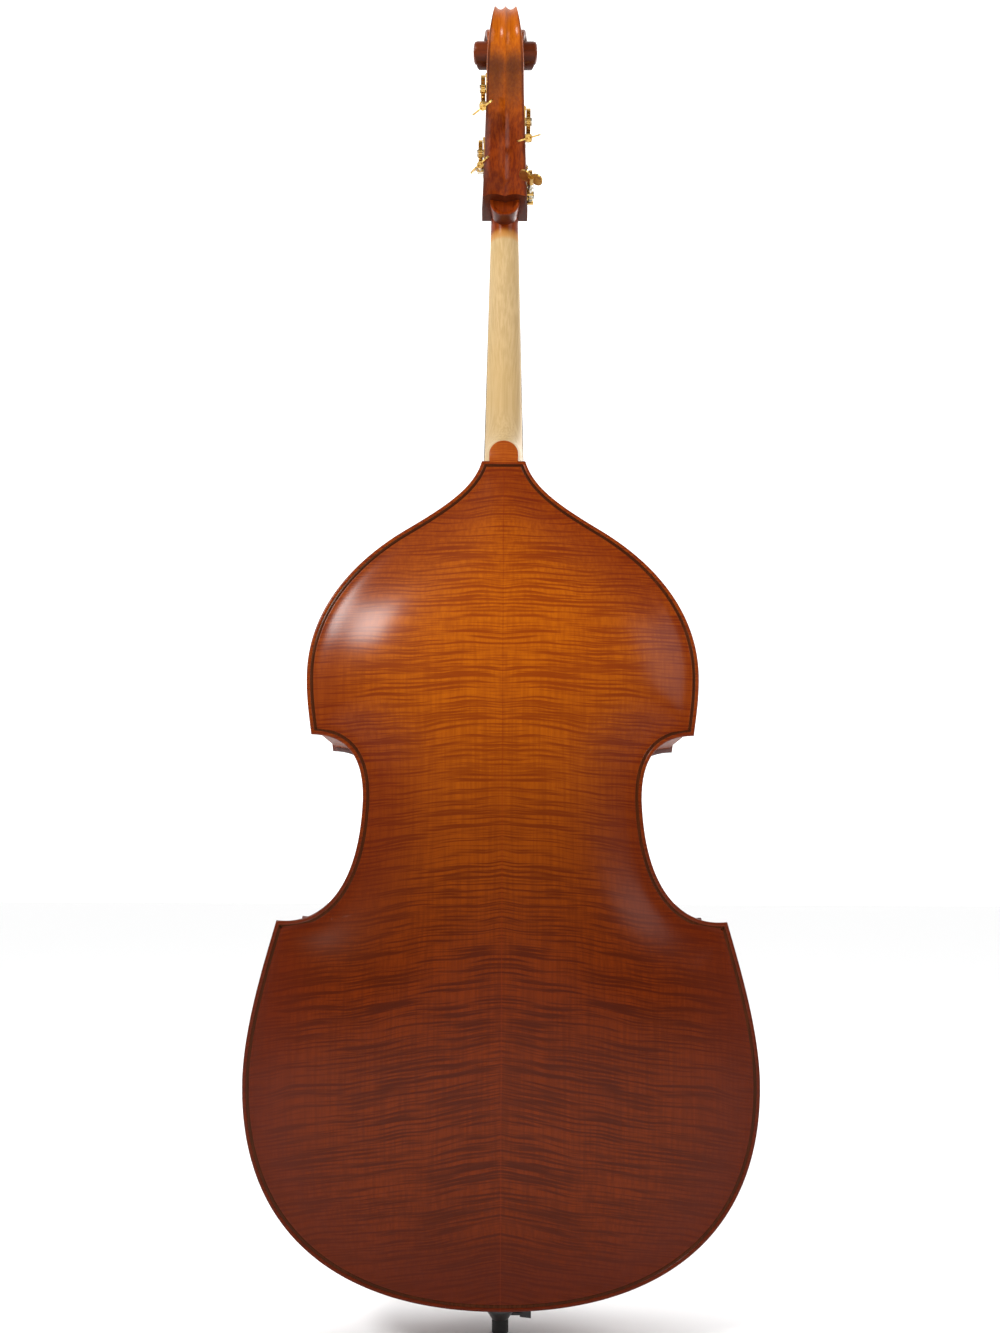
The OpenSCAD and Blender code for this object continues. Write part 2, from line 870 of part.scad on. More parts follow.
// Stands on the edge of the top, under the tail wire
module saddle() {
    foot_y = front_y - plate_t;
    color(EBONY) translate([-saddle_w / 2, 0, tip_drop])
        rotate([90, 0, 90])
            linear_extrude(saddle_w)
                polygon([
                    [foot_y, 2], [foot_y - 9, 1], [foot_y - 12, 3],
                    [foot_y - 11, saddle_len - 5], [foot_y - 3, saddle_len], [foot_y, saddle_len]
                ]);
}

// ---- strings ----

string_r = [1.35, 1.1, 0.9, 0.7];
function string_x(i, pitch) = (i - 1.5) * pitch;

// The strings' line, over the fingerboard's seat, meets the bridge here
bridge_top_y = seat_y(bridge_h) - string_rise;
function bridge_y(x) = bridge_top_y + bridge_r - sqrt(bridge_r * bridge_r - x * x);
string_touch = 0.1;

tail_top_s = bridge_h - 105;
tail_slope = 0.3;
function tail_y(s) = bridge_top_y + (bridge_h - s) * tail_slope;

// Where string i leaves its post, in the head's frame as [x, back, up]
function string_end(i) =
    let (m = MACHINES[i])
    [m[3], m[2] - post_d / 2 - 3 * string_r[i] - 0.3, m[1]];
function from_head(p) =
    [
        p[0],
        seat_y(nut_s) + p[1] * cos(head_tilt) + p[2] * sin(head_tilt),
        nut_s + tip_drop - p[1] * sin(head_tilt) + p[2] * cos(head_tilt)
    ];

// The line of string i as a rod of radius r; the bridge and the nut are grooved for it
module string_line(i, r) {
    lift = string_r[i] + string_touch;
    xb = string_x(i, bridge_pitch);
    xn = string_x(i, nut_pitch);
    nut_y = seat_y(nut_s) - board_top_nut - nut_lift - lift;
    rod_along([
        [0.82 * xb, tail_y(tail_top_s - 20) + 6, tail_top_s - 20 + tip_drop],
        [0.83 * xb, tail_y(tail_top_s - 17) - lift - 0.4, tail_top_s - 17 + tip_drop],
        [xb, bridge_y(xb) - lift, bridge_h + tip_drop],
        [xn, nut_y, nut_s + tip_drop + 1],
        [xn, nut_y + 0.6, nut_s + tip_drop + nut_len - 1],
        from_head(string_end(i))
    ], r);
}
module string_grooves() {
    for (i = [0:3]) string_line(i, string_r[i] + string_touch);
}
module string(i) {
    color(STEEL) string_line(i, string_r[i]);
}

module string_E() { string(0); }
module string_A() { string(1); }
module string_D() { string(2); }
module string_G() { string(3); }

// ---- bridge, tailpiece and tail wire ----

module bridge() {
    // The feet reach halfway into the top plate and are cut off by it
    foot_h = 14;
    function foot_y(x) = front_y - plate_t / 2 - arch_at(abs(x), bridge_h, top_arch);
    base_y = front_y - plate_t - top_arch;
    rise = base_y - bridge_top_y;
    half_top = 1.5 * bridge_pitch + 10;
    half = bridge_w / 2;
    color(MAPLE) difference() {
        intersection() {
            translate([0, 0, tip_drop + bridge_h - bridge_t / 2])
                linear_extrude(bridge_t) difference() {
                    polygon(concat(
                        [for (i = [0:10]) let (x = lerp(half_top, -half_top, i / 10)) [x, bridge_y(x)]],
                        [
                            [-half_top - 4, bridge_top_y + 0.3 * rise], [-half_top + 6, bridge_top_y + 0.5 * rise],
                            [-half + 14, base_y - foot_h], [-half, foot_y(half) - 9], [-half, foot_y(half)],
                            [-half + 26, foot_y(half - 26)],
                            [-half + 52, foot_y(half - 52)], [-half + 48, base_y - foot_h],
                            [0, base_y - 0.34 * rise],
                            [half - 48, base_y - foot_h], [half - 52, foot_y(half - 52)],
                            [half - 26, foot_y(half - 26)],
                            [half, foot_y(half)], [half, foot_y(half) - 9], [half - 14, base_y - foot_h],
                            [half_top - 6, bridge_top_y + 0.5 * rise], [half_top + 4, bridge_top_y + 0.3 * rise]
                        ]
                    ));
                    translate([0, bridge_top_y + 0.42 * rise]) scale([1, 1.2]) circle(11);
                    for (side = [-1, 1])
                        translate([side * 34, bridge_top_y + 0.52 * rise]) circle(9);
                }
            // Tapers from the feet to the top
            translate([-half, 0, tip_drop + bridge_h])
                rotate([90, 0, 90])
                    linear_extrude(bridge_w)
                        polygon([
                            [bridge_top_y - 1, -3], [bridge_top_y - 1, 3],
                            [base_y + 20, bridge_t / 2], [base_y + 20, -bridge_t / 2]
                        ]);
        }
        both_sides() top_half();
        string_grooves();
    }
}

tail_t = 20;
module tailpiece() {
    low_s = tail_top_s - tailpiece_len;
    function ring(s, w, t) =
        let (y = tail_y(s), h = w / 2)
        [for (p = [
            [h, 0.75], [h, 0.35], [0.6 * h, 0.1], [0, 0], [-0.6 * h, 0.1], [-h, 0.35], [-h, 0.75], [0, 0.9]
        ])
            [p[0], y + t * p[1], s + tip_drop]];
    color(EBONY) difference() {
        loft([
            ring(low_s, 0.44 * tailpiece_w, tail_t),
            ring(low_s + 0.6 * tailpiece_len, 0.72 * tailpiece_w, tail_t + 2),
            ring(tail_top_s - 6, tailpiece_w, tail_t), ring(tail_top_s, 0.94 * tailpiece_w, tail_t - 4)
        ]);
        for (i = [0:3])
            translate([0.82 * string_x(i, bridge_pitch), tail_y(tail_top_s) + 30, tail_top_s - 20 + tip_drop])
                rotate([90, 0, 0]) cylinder(d = 7, h = 60, $fn = 24);
    }
}

module tail_wire() {
    low = tail_top_s - tailpiece_len;
    x = 13;
    r = tail_wire_d / 2;
    top_y = front_y - plate_t - 12 - r;
    loop_r = collar_d / 2 + r + 0.2;
    loop_z = tip_drop - 14;
    color(STEEL) rod_along(concat(
        [
            [x, tail_y(low) + tail_t / 2, low + tip_drop - r],
            [x, top_y, tip_drop + 4],
            [x, front_y - plate_t - 8, tip_drop - 6 - r],
            [loop_r, -loop_r - 4, loop_z]
        ],
        [for (a = [0:20:180]) [loop_r * cos(a), loop_r * sin(a), loop_z]],
        [
            [-loop_r, -loop_r - 4, loop_z],
            [-x, front_y - plate_t - 8, tip_drop - 6 - r],
            [-x, top_y, tip_drop + 4],
            [-x, tail_y(low) + tail_t / 2, low + tip_drop - r]
        ]
    ), r);
}

// ---- tuning machines ----
// Each: side (+1 treble, -1 bass), place along the pegbox, depth of the post behind the
// pegbox's front, x of the string's turns, turn of the machine on the cheek in degrees,
// where the key starts along the worm, and how far the key stands turned round it.

MACHINES = [
    [-1, 49.7, 22, -12, 26, 34, 20],
    [-1, 129.3, 26, -6, -8, 31, -15],
    [1, 171, 26, 5, -12, 29, 34],
    [1, 88, 26, 10, 0, 34, 40]
];

plate_up = 20;
plate_down = 34;
plate_half = 14.5;
gear_lift = machine_plate_t + 1.4;
worm_mid_x = gear_lift + gear_t / 2;
gear_pitch_r = gear_module * gear_teeth / 2;
gear_tip_r = gear_pitch_r + 0.87 * gear_module;
gear_root_r = gear_pitch_r - 1.2 * gear_module;
axle_gap = gear_pitch_r + worm_r;
worm_core_r = worm_r - 1.1 * gear_module;
worm_tip_r = worm_r + gear_module;
worm_shaft_r = 3;
worm_half = 8.5;
window_half = 9.2;
window_h = 2 * worm_tip_r + 1.4;
window_sunk = worm_tip_r - worm_mid_x + 0.5;
ear_in = 9.6;
ear_out = 13.6;
ear_w = 10;
key_len = 24;
seat_sunk = 1;

// Seat of a machine: sunk a little into the cheek at the narrow end of its plate
function seat_x(m) = cheek_x(m[1] + plate_up) - seat_sunk;

// From the machine's own frame to the head: X away from the cheek, Y back, Z up the pegbox
module at_machine(m) {
    mirror([m[0] < 0 ? 1 : 0, 0, 0])
        translate([seat_x(m), m[2], m[1]])
            rotate([m[4], 0, 0])
                children();
}

function post_reach(m) = 2 * seat_x(m) - 6;

// The plate's seat, a pocket for the gear and the worm, the post's bores and the screws' holes
module machine_cuts(m) {
    translate([0, -plate_half - 0.1, -plate_down - 0.1])
        cube([20, 2 * plate_half + 0.2, plate_up + plate_down + 0.2]);
    translate([machine_plate_t, 0, 0]) rotate([0, 90, 0]) cylinder(r = gear_tip_r + 1, h = 20);
    translate([-window_sunk, -window_half, -axle_gap - window_h / 2]) cube([5, 2 * window_half, window_h]);
    translate([worm_mid_x, 0, -axle_gap]) rotate([-90, 0, 0]) cylinder(r = 4.8, h = 60);
    translate([-post_reach(m) - 1, 0, 0])
        rotate([0, 90, 0]) cylinder(r = post_d / 2 + run_gap, h = post_reach(m) + 10);
    for (p = screw_places())
        translate([1, p[0], p[1]]) rotate([0, -90, 0]) cylinder(r = 1.3, h = 11, $fn = 24);
}

function screw_places() = [
    for (y = [-1, 1], z = [-plate_down + 2.8, plate_up - 3]) [y * (plate_half - 3), z]
];

module machine_plate() {
    color(BRASS) difference() {
        union() {
            translate([0, -plate_half, -plate_down])
                cube([machine_plate_t, 2 * plate_half, plate_up + plate_down]);
            for (y = [-ear_out, ear_in])
                translate([0, y, -axle_gap - ear_w / 2]) cube([worm_mid_x + 5, ear_out - ear_in, ear_w]);
        }
        translate([-1, -window_half, -axle_gap - window_h / 2]) cube([5, 2 * window_half, window_h]);
        translate([-1, 0, 0]) rotate([0, 90, 0]) cylinder(r = post_d / 2 + run_gap, h = 10);
        translate([worm_mid_x, -20, -axle_gap])
            rotate([-90, 0, 0]) cylinder(r = worm_shaft_r + run_gap, h = 40);
        for (p = screw_places())
            translate([-1, p[0], p[1]]) rotate([0, 90, 0]) cylinder(r = 1.6, h = 5, $fn = 24);
    }
}

screw_head_h = 0.9;
module machine_screws() {
    for (p = screw_places()) translate([0, p[0], p[1]]) rotate([0, 90, 0]) {
        translate([0, 0, -9]) cylinder(r = 1.25, h = 9 + machine_plate_t, $fn = 24);
        translate([0, 0, machine_plate_t]) cylinder(r = 2.2, h = screw_head_h, $fn = 24);
    }
}

gear_seat_r = 4;
module machine_post(m) {
    // Post through both cheeks, with the screw that holds the gear on its squared end
    color(STEEL) {
        translate([-post_reach(m), 0, 0])
            rotate([0, 90, 0]) cylinder(d = post_d, h = post_reach(m) + gear_lift - 0.2);
        translate([gear_lift - 0.2, 0, 0]) rotate([0, 90, 0]) cylinder(r = gear_seat_r, h = gear_t + 0.2);
        translate([gear_lift + gear_t, 0, 0]) rotate([0, 90, 0]) cylinder(r = 5.5, h = 2.2);
    }
}

module machine_gear() {
    tooth = 360 / gear_teeth;
    half_root = 0.3;
    half_tip = 0.12;
    color(BRASS) translate([gear_lift, 0, 0]) rotate([0, 90, 0]) difference() {
        linear_extrude(gear_t)
            polygon([
                for (i = [0:gear_teeth - 1])
                    let (a = (i + 0.5) * tooth)
                    each [
                        gear_root_r * [cos(a - half_root * tooth), sin(a - half_root * tooth)],
                        gear_tip_r * [cos(a - half_tip * tooth), sin(a - half_tip * tooth)],
                        gear_tip_r * [cos(a + half_tip * tooth), sin(a + half_tip * tooth)],
                        gear_root_r * [cos(a + half_root * tooth), sin(a + half_root * tooth)]
                    ]
            ]);
        translate([0, 0, -1]) cylinder(r = gear_seat_r, h = gear_t + 2);
    }
}

// Worm: one thread on a core, along +Z, with a crest at +X when z is zero
module worm_thread() {
    pitch = PI * gear_module;
    per_turn = 16;
    turns = 2 * worm_half / pitch - 0.9;
    steps = round(turns * per_turn);
    loft([
        for (i = [0:steps])
            let (
                turn = (i - steps / 2) / per_turn,
                a = 360 * turn,
                z = turn * pitch,
                crest = worm_core_r + (worm_tip_r - worm_core_r) * min(1, min(i, steps - i) / 4 + 0.1)
            )
            [
                for (p = [[worm_core_r - 0.6, -0.95], [worm_core_r - 0.6, 0.95], [crest, 0.45], [crest, -0.45]])
                    [p[0] * cos(a), p[0] * sin(a), z + p[1]]
            ]
    ]);
}

module machine_worm(m) {
    key_from = m[5];
    color(STEEL) translate([worm_mid_x, 0, -axle_gap]) rotate([-90, 0, 0]) {
        rotate([0, 0, -90]) worm_thread();
        translate([0, 0, -worm_half]) cylinder(r = worm_core_r, h = 2 * worm_half);
        translate([0, 0, -ear_out - 1]) cylinder(r = worm_shaft_r, h = ear_out + 1 + key_from + key_len / 2);
        translate([0, 0, ear_out + 0.3]) cylinder(r = 4.2, h = min(8, key_from - ear_out - 1));
    }
}

module machine_key(m) {
    boss_r = 4.6;
    color(BRASS) translate([worm_mid_x, 0, -axle_gap]) rotate([-90, 0, 0]) translate([0, 0, m[5]])
        rotate([0, 0, m[6]]) difference() {
            union() {
                cylinder(r = boss_r, h = key_len * 0.6);
                translate([0, key_t / 2, key_len / 2]) rotate([90, 0, 0]) linear_extrude(key_t)
                    union() {
                        for (side = [-1, 1])
                            translate([side * key_w / 4, 0]) scale([key_w / 4, key_len / 2]) circle(1, $fn = 32);
                        square([key_w / 2, key_len * 0.55], center = true);
                    }
            }
            translate([0, 0, -1]) cylinder(r = worm_shaft_r, h = key_len / 2 + 1);
        }
}

module winding(i) {
    m = MACHINES[i];
    r = string_r[i];
    turns = 4;
    step = 1.9 * r;
    color(STEEL) in_head() translate([m[3], m[2], m[1]]) rotate([0, 90, 0]) rotate_extrude()
        for (k = [0:turns - 1]) translate([post_d / 2 + r, (k - (turns - 1) / 2) * step]) intersection() {
            union() {
                circle(r, $fn = 16);
                translate([-r, -step / 2]) square([r, step]);
            }
            translate([-r, -r]) square(2 * r);
        }
}

module winding_E() { winding(0); }
module winding_A() { winding(1); }
module winding_D() { winding(2); }
module winding_G() { winding(3); }
module plate_E() { in_head() at_machine(MACHINES[0]) machine_plate(); }
module plate_A() { in_head() at_machine(MACHINES[1]) machine_plate(); }
module plate_D() { in_head() at_machine(MACHINES[2]) machine_plate(); }
module plate_G() { in_head() at_machine(MACHINES[3]) machine_plate(); }
module post_E() { in_head() at_machine(MACHINES[0]) machine_post(MACHINES[0]); }
module post_A() { in_head() at_machine(MACHINES[1]) machine_post(MACHINES[1]); }
module post_D() { in_head() at_machine(MACHINES[2]) machine_post(MACHINES[2]); }
module post_G() { in_head() at_machine(MACHINES[3]) machine_post(MACHINES[3]); }
module gear_E() { in_head() at_machine(MACHINES[0]) machine_gear(); }
module gear_A() { in_head() at_machine(MACHINES[1]) machine_gear(); }
module gear_D() { in_head() at_machine(MACHINES[2]) machine_gear(); }
module gear_G() { in_head() at_machine(MACHINES[3]) machine_gear(); }
module worm_E() { in_head() at_machine(MACHINES[0]) machine_worm(MACHINES[0]); }
module worm_A() { in_head() at_machine(MACHINES[1]) machine_worm(MACHINES[1]); }
module worm_D() { in_head() at_machine(MACHINES[2]) machine_worm(MACHINES[2]); }
module worm_G() { in_head() at_machine(MACHINES[3]) machine_worm(MACHINES[3]); }
module key_E() { in_head() at_machine(MACHINES[0]) machine_key(MACHINES[0]); }
module key_A() { in_head() at_machine(MACHINES[1]) machine_key(MACHINES[1]); }
module key_D() { in_head() at_machine(MACHINES[2]) machine_key(MACHINES[2]); }
module key_G() { in_head() at_machine(MACHINES[3]) machine_key(MACHINES[3]); }

module plate_screws() {
    color(BRASS) in_head() for (m = MACHINES) at_machine(m) machine_screws();
}

// ---- endpin ----

collar_top = tip_drop + overhang - 0.3;
collar_low = tip_h + 0.4;
screw_z = collar_low + 7;
screw_r = 3;

module endpin_collar() {
    cone_top = collar_low + 12;
    color(EBONY) difference() {
        union() {
            translate([0, 0, cone_top]) cylinder(d = collar_d, h = collar_top - cone_top);
            translate([0, 0, collar_low]) cylinder(r1 = tip_d / 2, r2 = collar_d / 2, h = cone_top - collar_low);
            translate([0, 0, collar_top]) cylinder(d = plug_d, h = 40);
        }
        translate([0, 0, collar_low - 1]) cylinder(r = rod_d / 2 + run_gap, h = 200);
        translate([0, 0, screw_z]) rotate([0, -90, 0]) cylinder(r = screw_r + run_gap, h = collar_d);
        translate([0, 0, tip_drop - 14]) rotate_extrude()
            translate([collar_d / 2 + tail_wire_d / 2 + 0.2, 0]) circle(d = tail_wire_d + 0.4, $fn = 16);
    }
}

rod_sunk = 14;
module endpin_rod() {
    color(STEEL) translate([0, 0, tip_h - rod_sunk]) cylinder(d = rod_d, h = rod_len);
}

module rubber_tip() {
    color("#151515") difference() {
        union() {
            translate([0, 0, 2]) cylinder(d = tip_d, h = tip_h - 2);
            cylinder(r1 = tip_d / 2 - 2, r2 = tip_d / 2, h = 2);
        }
        translate([0, 0, tip_h - rod_sunk]) cylinder(d = rod_d, h = rod_sunk + 1);
    }
}

module endpin_screw() {
    knob_from = 26;
    knob_len = 15;
    color(EBONY) translate([0, 0, screw_z]) rotate([0, -90, 0]) {
        translate([0, 0, rod_d / 2 + 0.3]) cylinder(r = screw_r, h = knob_from + 4 - rod_d / 2);
        translate([0, 0, knob_from]) difference() {
            cylinder(r1 = 5, r2 = 6.5, h = knob_len);
            for (side = [-1, 1]) translate([-8, side * 6.4 - 3.4, 3]) cube([16, 6.8, knob_len]);
        }
    }
}

back_bass_half();
back_treble_half();
top_bass_half();
top_treble_half();
back_purfling();
top_purfling();
lower_rib_bass();
lower_rib_treble();
waist_rib_bass();
waist_rib_treble();
upper_rib_bass();
upper_rib_treble();
front_linings();
back_linings();
neck_block();
end_block();
corner_blocks();
bass_bar();
soundpost();
neck();
fingerboard();
nut();
saddle();
bridge();
tailpiece();
tail_wire();
endpin_collar();
endpin_rod();
rubber_tip();
endpin_screw();
string_E();
string_A();
string_D();
string_G();
winding_E();
winding_A();
winding_D();
winding_G();
plate_E();
plate_A();
plate_D();
plate_G();
post_E();
post_A();
post_D();
post_G();
gear_E();
gear_A();
gear_D();
gear_G();
worm_E();
worm_A();
worm_D();
worm_G();
key_E();
key_A();
key_D();
key_G();
plate_screws();
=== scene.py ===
"""Looks of the three-quarter double bass: the arched plates with their inlaid purfling, the ribs,
the neck with its pegbox and scroll, and a finish for every part, also those kept from the CAD.

Metres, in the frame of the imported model: +Z up, the top faces -Y and the round back +Y.
"""
from math import cos, pi, radians, sin, sqrt, tan

import bpy
import bmesh
import numpy as np
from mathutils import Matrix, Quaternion, Vector


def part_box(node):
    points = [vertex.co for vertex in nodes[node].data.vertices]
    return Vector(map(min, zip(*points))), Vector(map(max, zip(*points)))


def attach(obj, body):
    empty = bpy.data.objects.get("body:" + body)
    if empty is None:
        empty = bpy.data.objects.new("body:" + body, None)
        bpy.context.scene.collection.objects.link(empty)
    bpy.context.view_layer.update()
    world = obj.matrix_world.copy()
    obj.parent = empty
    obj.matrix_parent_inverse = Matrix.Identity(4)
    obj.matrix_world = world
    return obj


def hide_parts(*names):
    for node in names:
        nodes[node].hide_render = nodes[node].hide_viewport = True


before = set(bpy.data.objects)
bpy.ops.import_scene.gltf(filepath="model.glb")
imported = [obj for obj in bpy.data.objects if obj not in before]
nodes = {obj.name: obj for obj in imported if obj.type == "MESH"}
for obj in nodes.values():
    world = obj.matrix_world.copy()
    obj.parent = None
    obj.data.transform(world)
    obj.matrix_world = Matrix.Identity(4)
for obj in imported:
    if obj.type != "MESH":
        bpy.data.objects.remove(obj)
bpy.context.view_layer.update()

# ---- sizes ----

OVERHANG = 0.006
BODY_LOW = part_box("lower_rib_treble")[0].z - OVERHANG
BODY_LEN = 1.110
RIB_DEPTH = 0.190
RIB_TAPER = 0.034
RIB_THICK = 0.0022
RIB_GAP = 0.0003
PLATE_THICK = 0.007
BAND_DROP = 0.0004
BACK_ARCH = 0.036
TOP_ARCH = 0.028
FLAT_BAND = 0.0105
UPPER_CORNER = Vector((0.251, 0.727))
LOWER_CORNER = Vector((0.291, 0.485))
HEEL_HALF = 0.030

NECK_LEN = 0.425
NECK_TOP = 0.422
NECK_HALF_HEEL = 0.031
NECK_HALF_NUT = 0.0205
NECK_SLOPE = tan(radians(9))
SEAT_Y = -RIB_DEPTH / 2 - 0.037
NUT_S = BODY_LEN + NECK_LEN
HEAD_TILT = radians(26)


def mm(*values):
    """Millimetres as metres."""
    return tuple(v / 1000 for v in values)


# ---- curves ----


def bezier(points, t):
    a, b, c, d = (np.array(p, float) for p in points)
    t = np.asarray(t, float)[:, None]
    return (1 - t) ** 3 * a + 3 * t * (1 - t) ** 2 * b + 3 * t * t * (1 - t) * c + t ** 3 * d


def lerp(a, b, t):
    return a + (b - a) * t


def smooth_table(table, x):
    """Catmull-Rom through (place, value) rows."""
    xs = [row[0] for row in table]
    ys = [row[1] for row in table]
    i = min(max(int(np.searchsorted(xs, x)) - 1, 0), len(xs) - 2)

    def slope(k):
        low, high = max(k - 1, 0), min(k + 1, len(xs) - 1)
        return (ys[high] - ys[low]) / (xs[high] - xs[low])

    step = xs[i + 1] - xs[i]
    t = min(max((x - xs[i]) / step, 0), 1)
    return (
        (2 * t ** 3 - 3 * t ** 2 + 1) * ys[i]
        + (t ** 3 - 2 * t ** 2 + t) * step * slope(i)
        + (3 * t ** 2 - 2 * t ** 3) * ys[i + 1]
        + (t ** 3 - t ** 2) * step * slope(i + 1)
    )


# The outline of the body at +X, as [x, height over the lower edge]
LOWER_BOUT = [
    [(0, 0), (0.2046, 0), (0.330, 0.0959), (0.330, 0.282)],
    [(0.330, 0.282), (0.330, 0.349), (0.3058, 0.4302), LOWER_CORNER],
]
WAIST = [
    [LOWER_CORNER, (0.2376, 0.4787), (0.1853, 0.518), (0.182, 0.642)],
    [(0.182, 0.642), (0.182, 0.6998), (0.2048, 0.7262), UPPER_CORNER],
]
UPPER_BOUT = [
    [UPPER_CORNER, (0.2538, 0.7481), (0.259, 0.7756), (0.259, 0.808)],
    [(0.259, 0.808), (0.259, 0.8895), (0.210, 0.9599), (0.1292, 1.0109)],
    [(0.1292, 1.0109), (0.0742, 1.046), (0.0401, 1.072), (HEEL_HALF, BODY_LEN)],
]


def run_along(curves, spacing):
    """Points and inward directions along a chain of curves."""
    points = []
    for curve in curves:
        rough = bezier(curve, np.linspace(0, 1, 9))
        count = max(4, int(np.linalg.norm(np.diff(rough, axis=0), axis=1).sum() / spacing))
        new = bezier(curve, np.linspace(0, 1, count + 1))
        points.extend(new if not len(points) else new[1:])
    points = np.array(points)
    along = np.gradient(points, axis=0)
    along[0], along[-1] = points[1] - points[0], points[-1] - points[-2]
    inward = np.stack([-along[:, 1], along[:, 0]], axis=1)
    inward /= np.linalg.norm(inward, axis=1)[:, None]
    return points, inward


def mitre(a, b):
    return (a + b) / (1 + a @ b)


def half_outline(spacing):
    """The three runs of the half outline, joined by mitred corners."""
    runs = [run_along(c, spacing) for c in (LOWER_BOUT, WAIST, UPPER_BOUT)]
    runs[0][1][0] = (0, 1)
    for first, second in ((0, 1), (1, 2)):
        corner = mitre(runs[first][1][-1], runs[second][1][0])
        runs[first][1][-1] = corner
        runs[second][1][0] = corner
    runs[2][1][-1] = mitre(runs[2][1][-1], np.array((0, -1)))
    return runs


def whole_half(spacing):
    """The half outline as one run, carried on along the heel's edge to the middle."""
    runs = half_outline(spacing)
    heel_edge = [(0.012, BODY_LEN), (0, BODY_LEN)]
    points = np.concatenate([runs[0][0], runs[1][0][1:], runs[2][0][1:], heel_edge])
    inward = np.concatenate([runs[0][1], runs[1][1][1:], runs[2][1][1:], [(0, -1), (0, -1)]])
    return points, inward


# ---- depth of the body ----

ARCH_REACH = 0.062
ARCH_POWER = 1.7

def back_y(s):
    """Back edge of the ribs at height s over the body's lower edge."""
    share = np.maximum(0, s - UPPER_CORNER[1]) / (BODY_LEN - UPPER_CORNER[1])
    return RIB_DEPTH / 2 - RIB_TAPER * share ** 1.5


def arch_share(points, edge):
    """How high the arch stands at each point, from 0 at the flat band to about 1 in the middle.

    It follows a smooth distance from the whole edge, so the arch has no creases."""
    both = np.concatenate([edge, edge[::-1] * (-1, 1)])
    middle = (both[1:] + both[:-1]) / 2
    length = np.linalg.norm(np.diff(both, axis=0), axis=1)
    total = np.zeros(len(points))
    for block in np.array_split(np.arange(len(points)), 40):
        gap = ((points[block][:, None, :] - middle[None, :, :]) ** 2).sum(2)
        total[block] = (length / np.maximum(gap, 1e-8) ** 2).sum(1)
    distance = (pi / 2 / total) ** (1 / 3)
    return (1 - np.exp(-distance / ARCH_REACH)) ** ARCH_POWER


# ---- meshes ----


def place_object(name, data):
    piece = bpy.data.objects.new(name, data)
    bpy.context.scene.collection.objects.link(piece)
    return piece


def shade(mesh, sharp=35):
    """Smooth shading, with edges sharper than so many degrees left hard."""
    mesh.shade_smooth()
    mesh.set_sharp_from_angle(angle=radians(sharp))


def face_outwards(mesh, merge=False):
    """Turns every face outwards. Merging first welds points that lie in one place."""
    form = bmesh.new()
    form.from_mesh(mesh)
    if merge:
        bmesh.ops.remove_doubles(form, verts=form.verts, dist=1e-6)
    bmesh.ops.recalc_face_normals(form, faces=form.faces)
    form.to_mesh(mesh)
    form.free()


def make_piece(name, verts, faces, body="instrument", sharp=35):
    """A welded mesh as an object. A raw piece that is cut or joined later rides on no body."""
    mesh = bpy.data.meshes.new(name)
    mesh.from_pydata([tuple(v) for v in verts], [], faces)
    mesh.validate()
    face_outwards(mesh, merge=True)
    shade(mesh, sharp)
    piece = place_object(name, mesh)
    if body:
        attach(piece, body)
    return piece


def loft_faces(rows, columns):
    """Faces of a capped tube through rows of closed outlines, each with the same number of points."""
    faces = []
    for i in range(rows - 1):
        low, high = i * columns, (i + 1) * columns
        for j in range(columns):
            k = (j + 1) % columns
            faces.append([low + j, low + k, high + k, high + j])
    last = (rows - 1) * columns
    faces.append(list(range(columns)))
    faces.append(list(range(last, last + columns)))
    return faces


def loft(name, rings, body="instrument", sharp=35):
    verts = [v for ring in rings for v in ring]
    return make_piece(name, verts, loft_faces(len(rings), len(rings[0])), body, sharp)


def set_values(piece, name, values):
    """Stores a number per vertex for a material to read."""
    attribute = piece.data.attributes.new(name, "FLOAT", "POINT")
    attribute.data.foreach_set("value", np.asarray(values, np.float32))


def cut(piece, cutters):
    """Takes the cutters out of the piece, then throws them away."""
    for cutter in cutters:
        modifier = piece.modifiers.new("cut", "BOOLEAN")
        modifier.operation = "DIFFERENCE"
        modifier.solver = "EXACT"
        modifier.object = cutter
    bpy.context.view_layer.update()
    graph = bpy.context.evaluated_depsgraph_get()
    mesh = bpy.data.meshes.new_from_object(piece.evaluated_get(graph))
    piece.modifiers.clear()
    piece.data = mesh
    for cutter in cutters:
        bpy.data.objects.remove(cutter)
    shade(mesh)


def join(name, pieces):
    """One object from several meshes."""
    form = bmesh.new()
    for piece in pieces:
        part = piece.data.copy()
        part.transform(piece.matrix_world)
        form.from_mesh(part)
    mesh = bpy.data.meshes.new(name)
    form.to_mesh(mesh)
    form.free()
    for piece in pieces:
        bpy.data.objects.remove(piece)
    shade(mesh)
    whole = place_object(name, mesh)
    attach(whole, "instrument")
    return whole


# ---- plates, purfling and ribs ----

GRID = 0.007
ARCH_ROWS = 26
ROW_SPREAD = 1.25
RIDGE_GAP = 0.17
# The plate's edge as (distance in, height): rounded, slightly raised, then the purfling's groove
EDGE_PROFILE = [
    mm(8, 0), mm(1.6, 0), mm(0.4, 0.7), mm(0, 2.2), mm(0, 4.8), mm(0.4, 6.2), mm(1.3, 6.95), mm(2.6, 7),
    mm(4.6, 6.8), mm(5, 6.5), mm(5, 5.5), mm(9, 5.5), mm(9, 6.5), mm(9.3, 6.6),
]
# The inlay's section in that groove, with its upper edges broken
INLAY_PROFILE = [
    mm(5.02, 5.55), mm(5.02, 6.4), mm(5.4, 6.6), mm(8.6, 6.6), mm(8.98, 6.4), mm(8.98, 5.55),
]


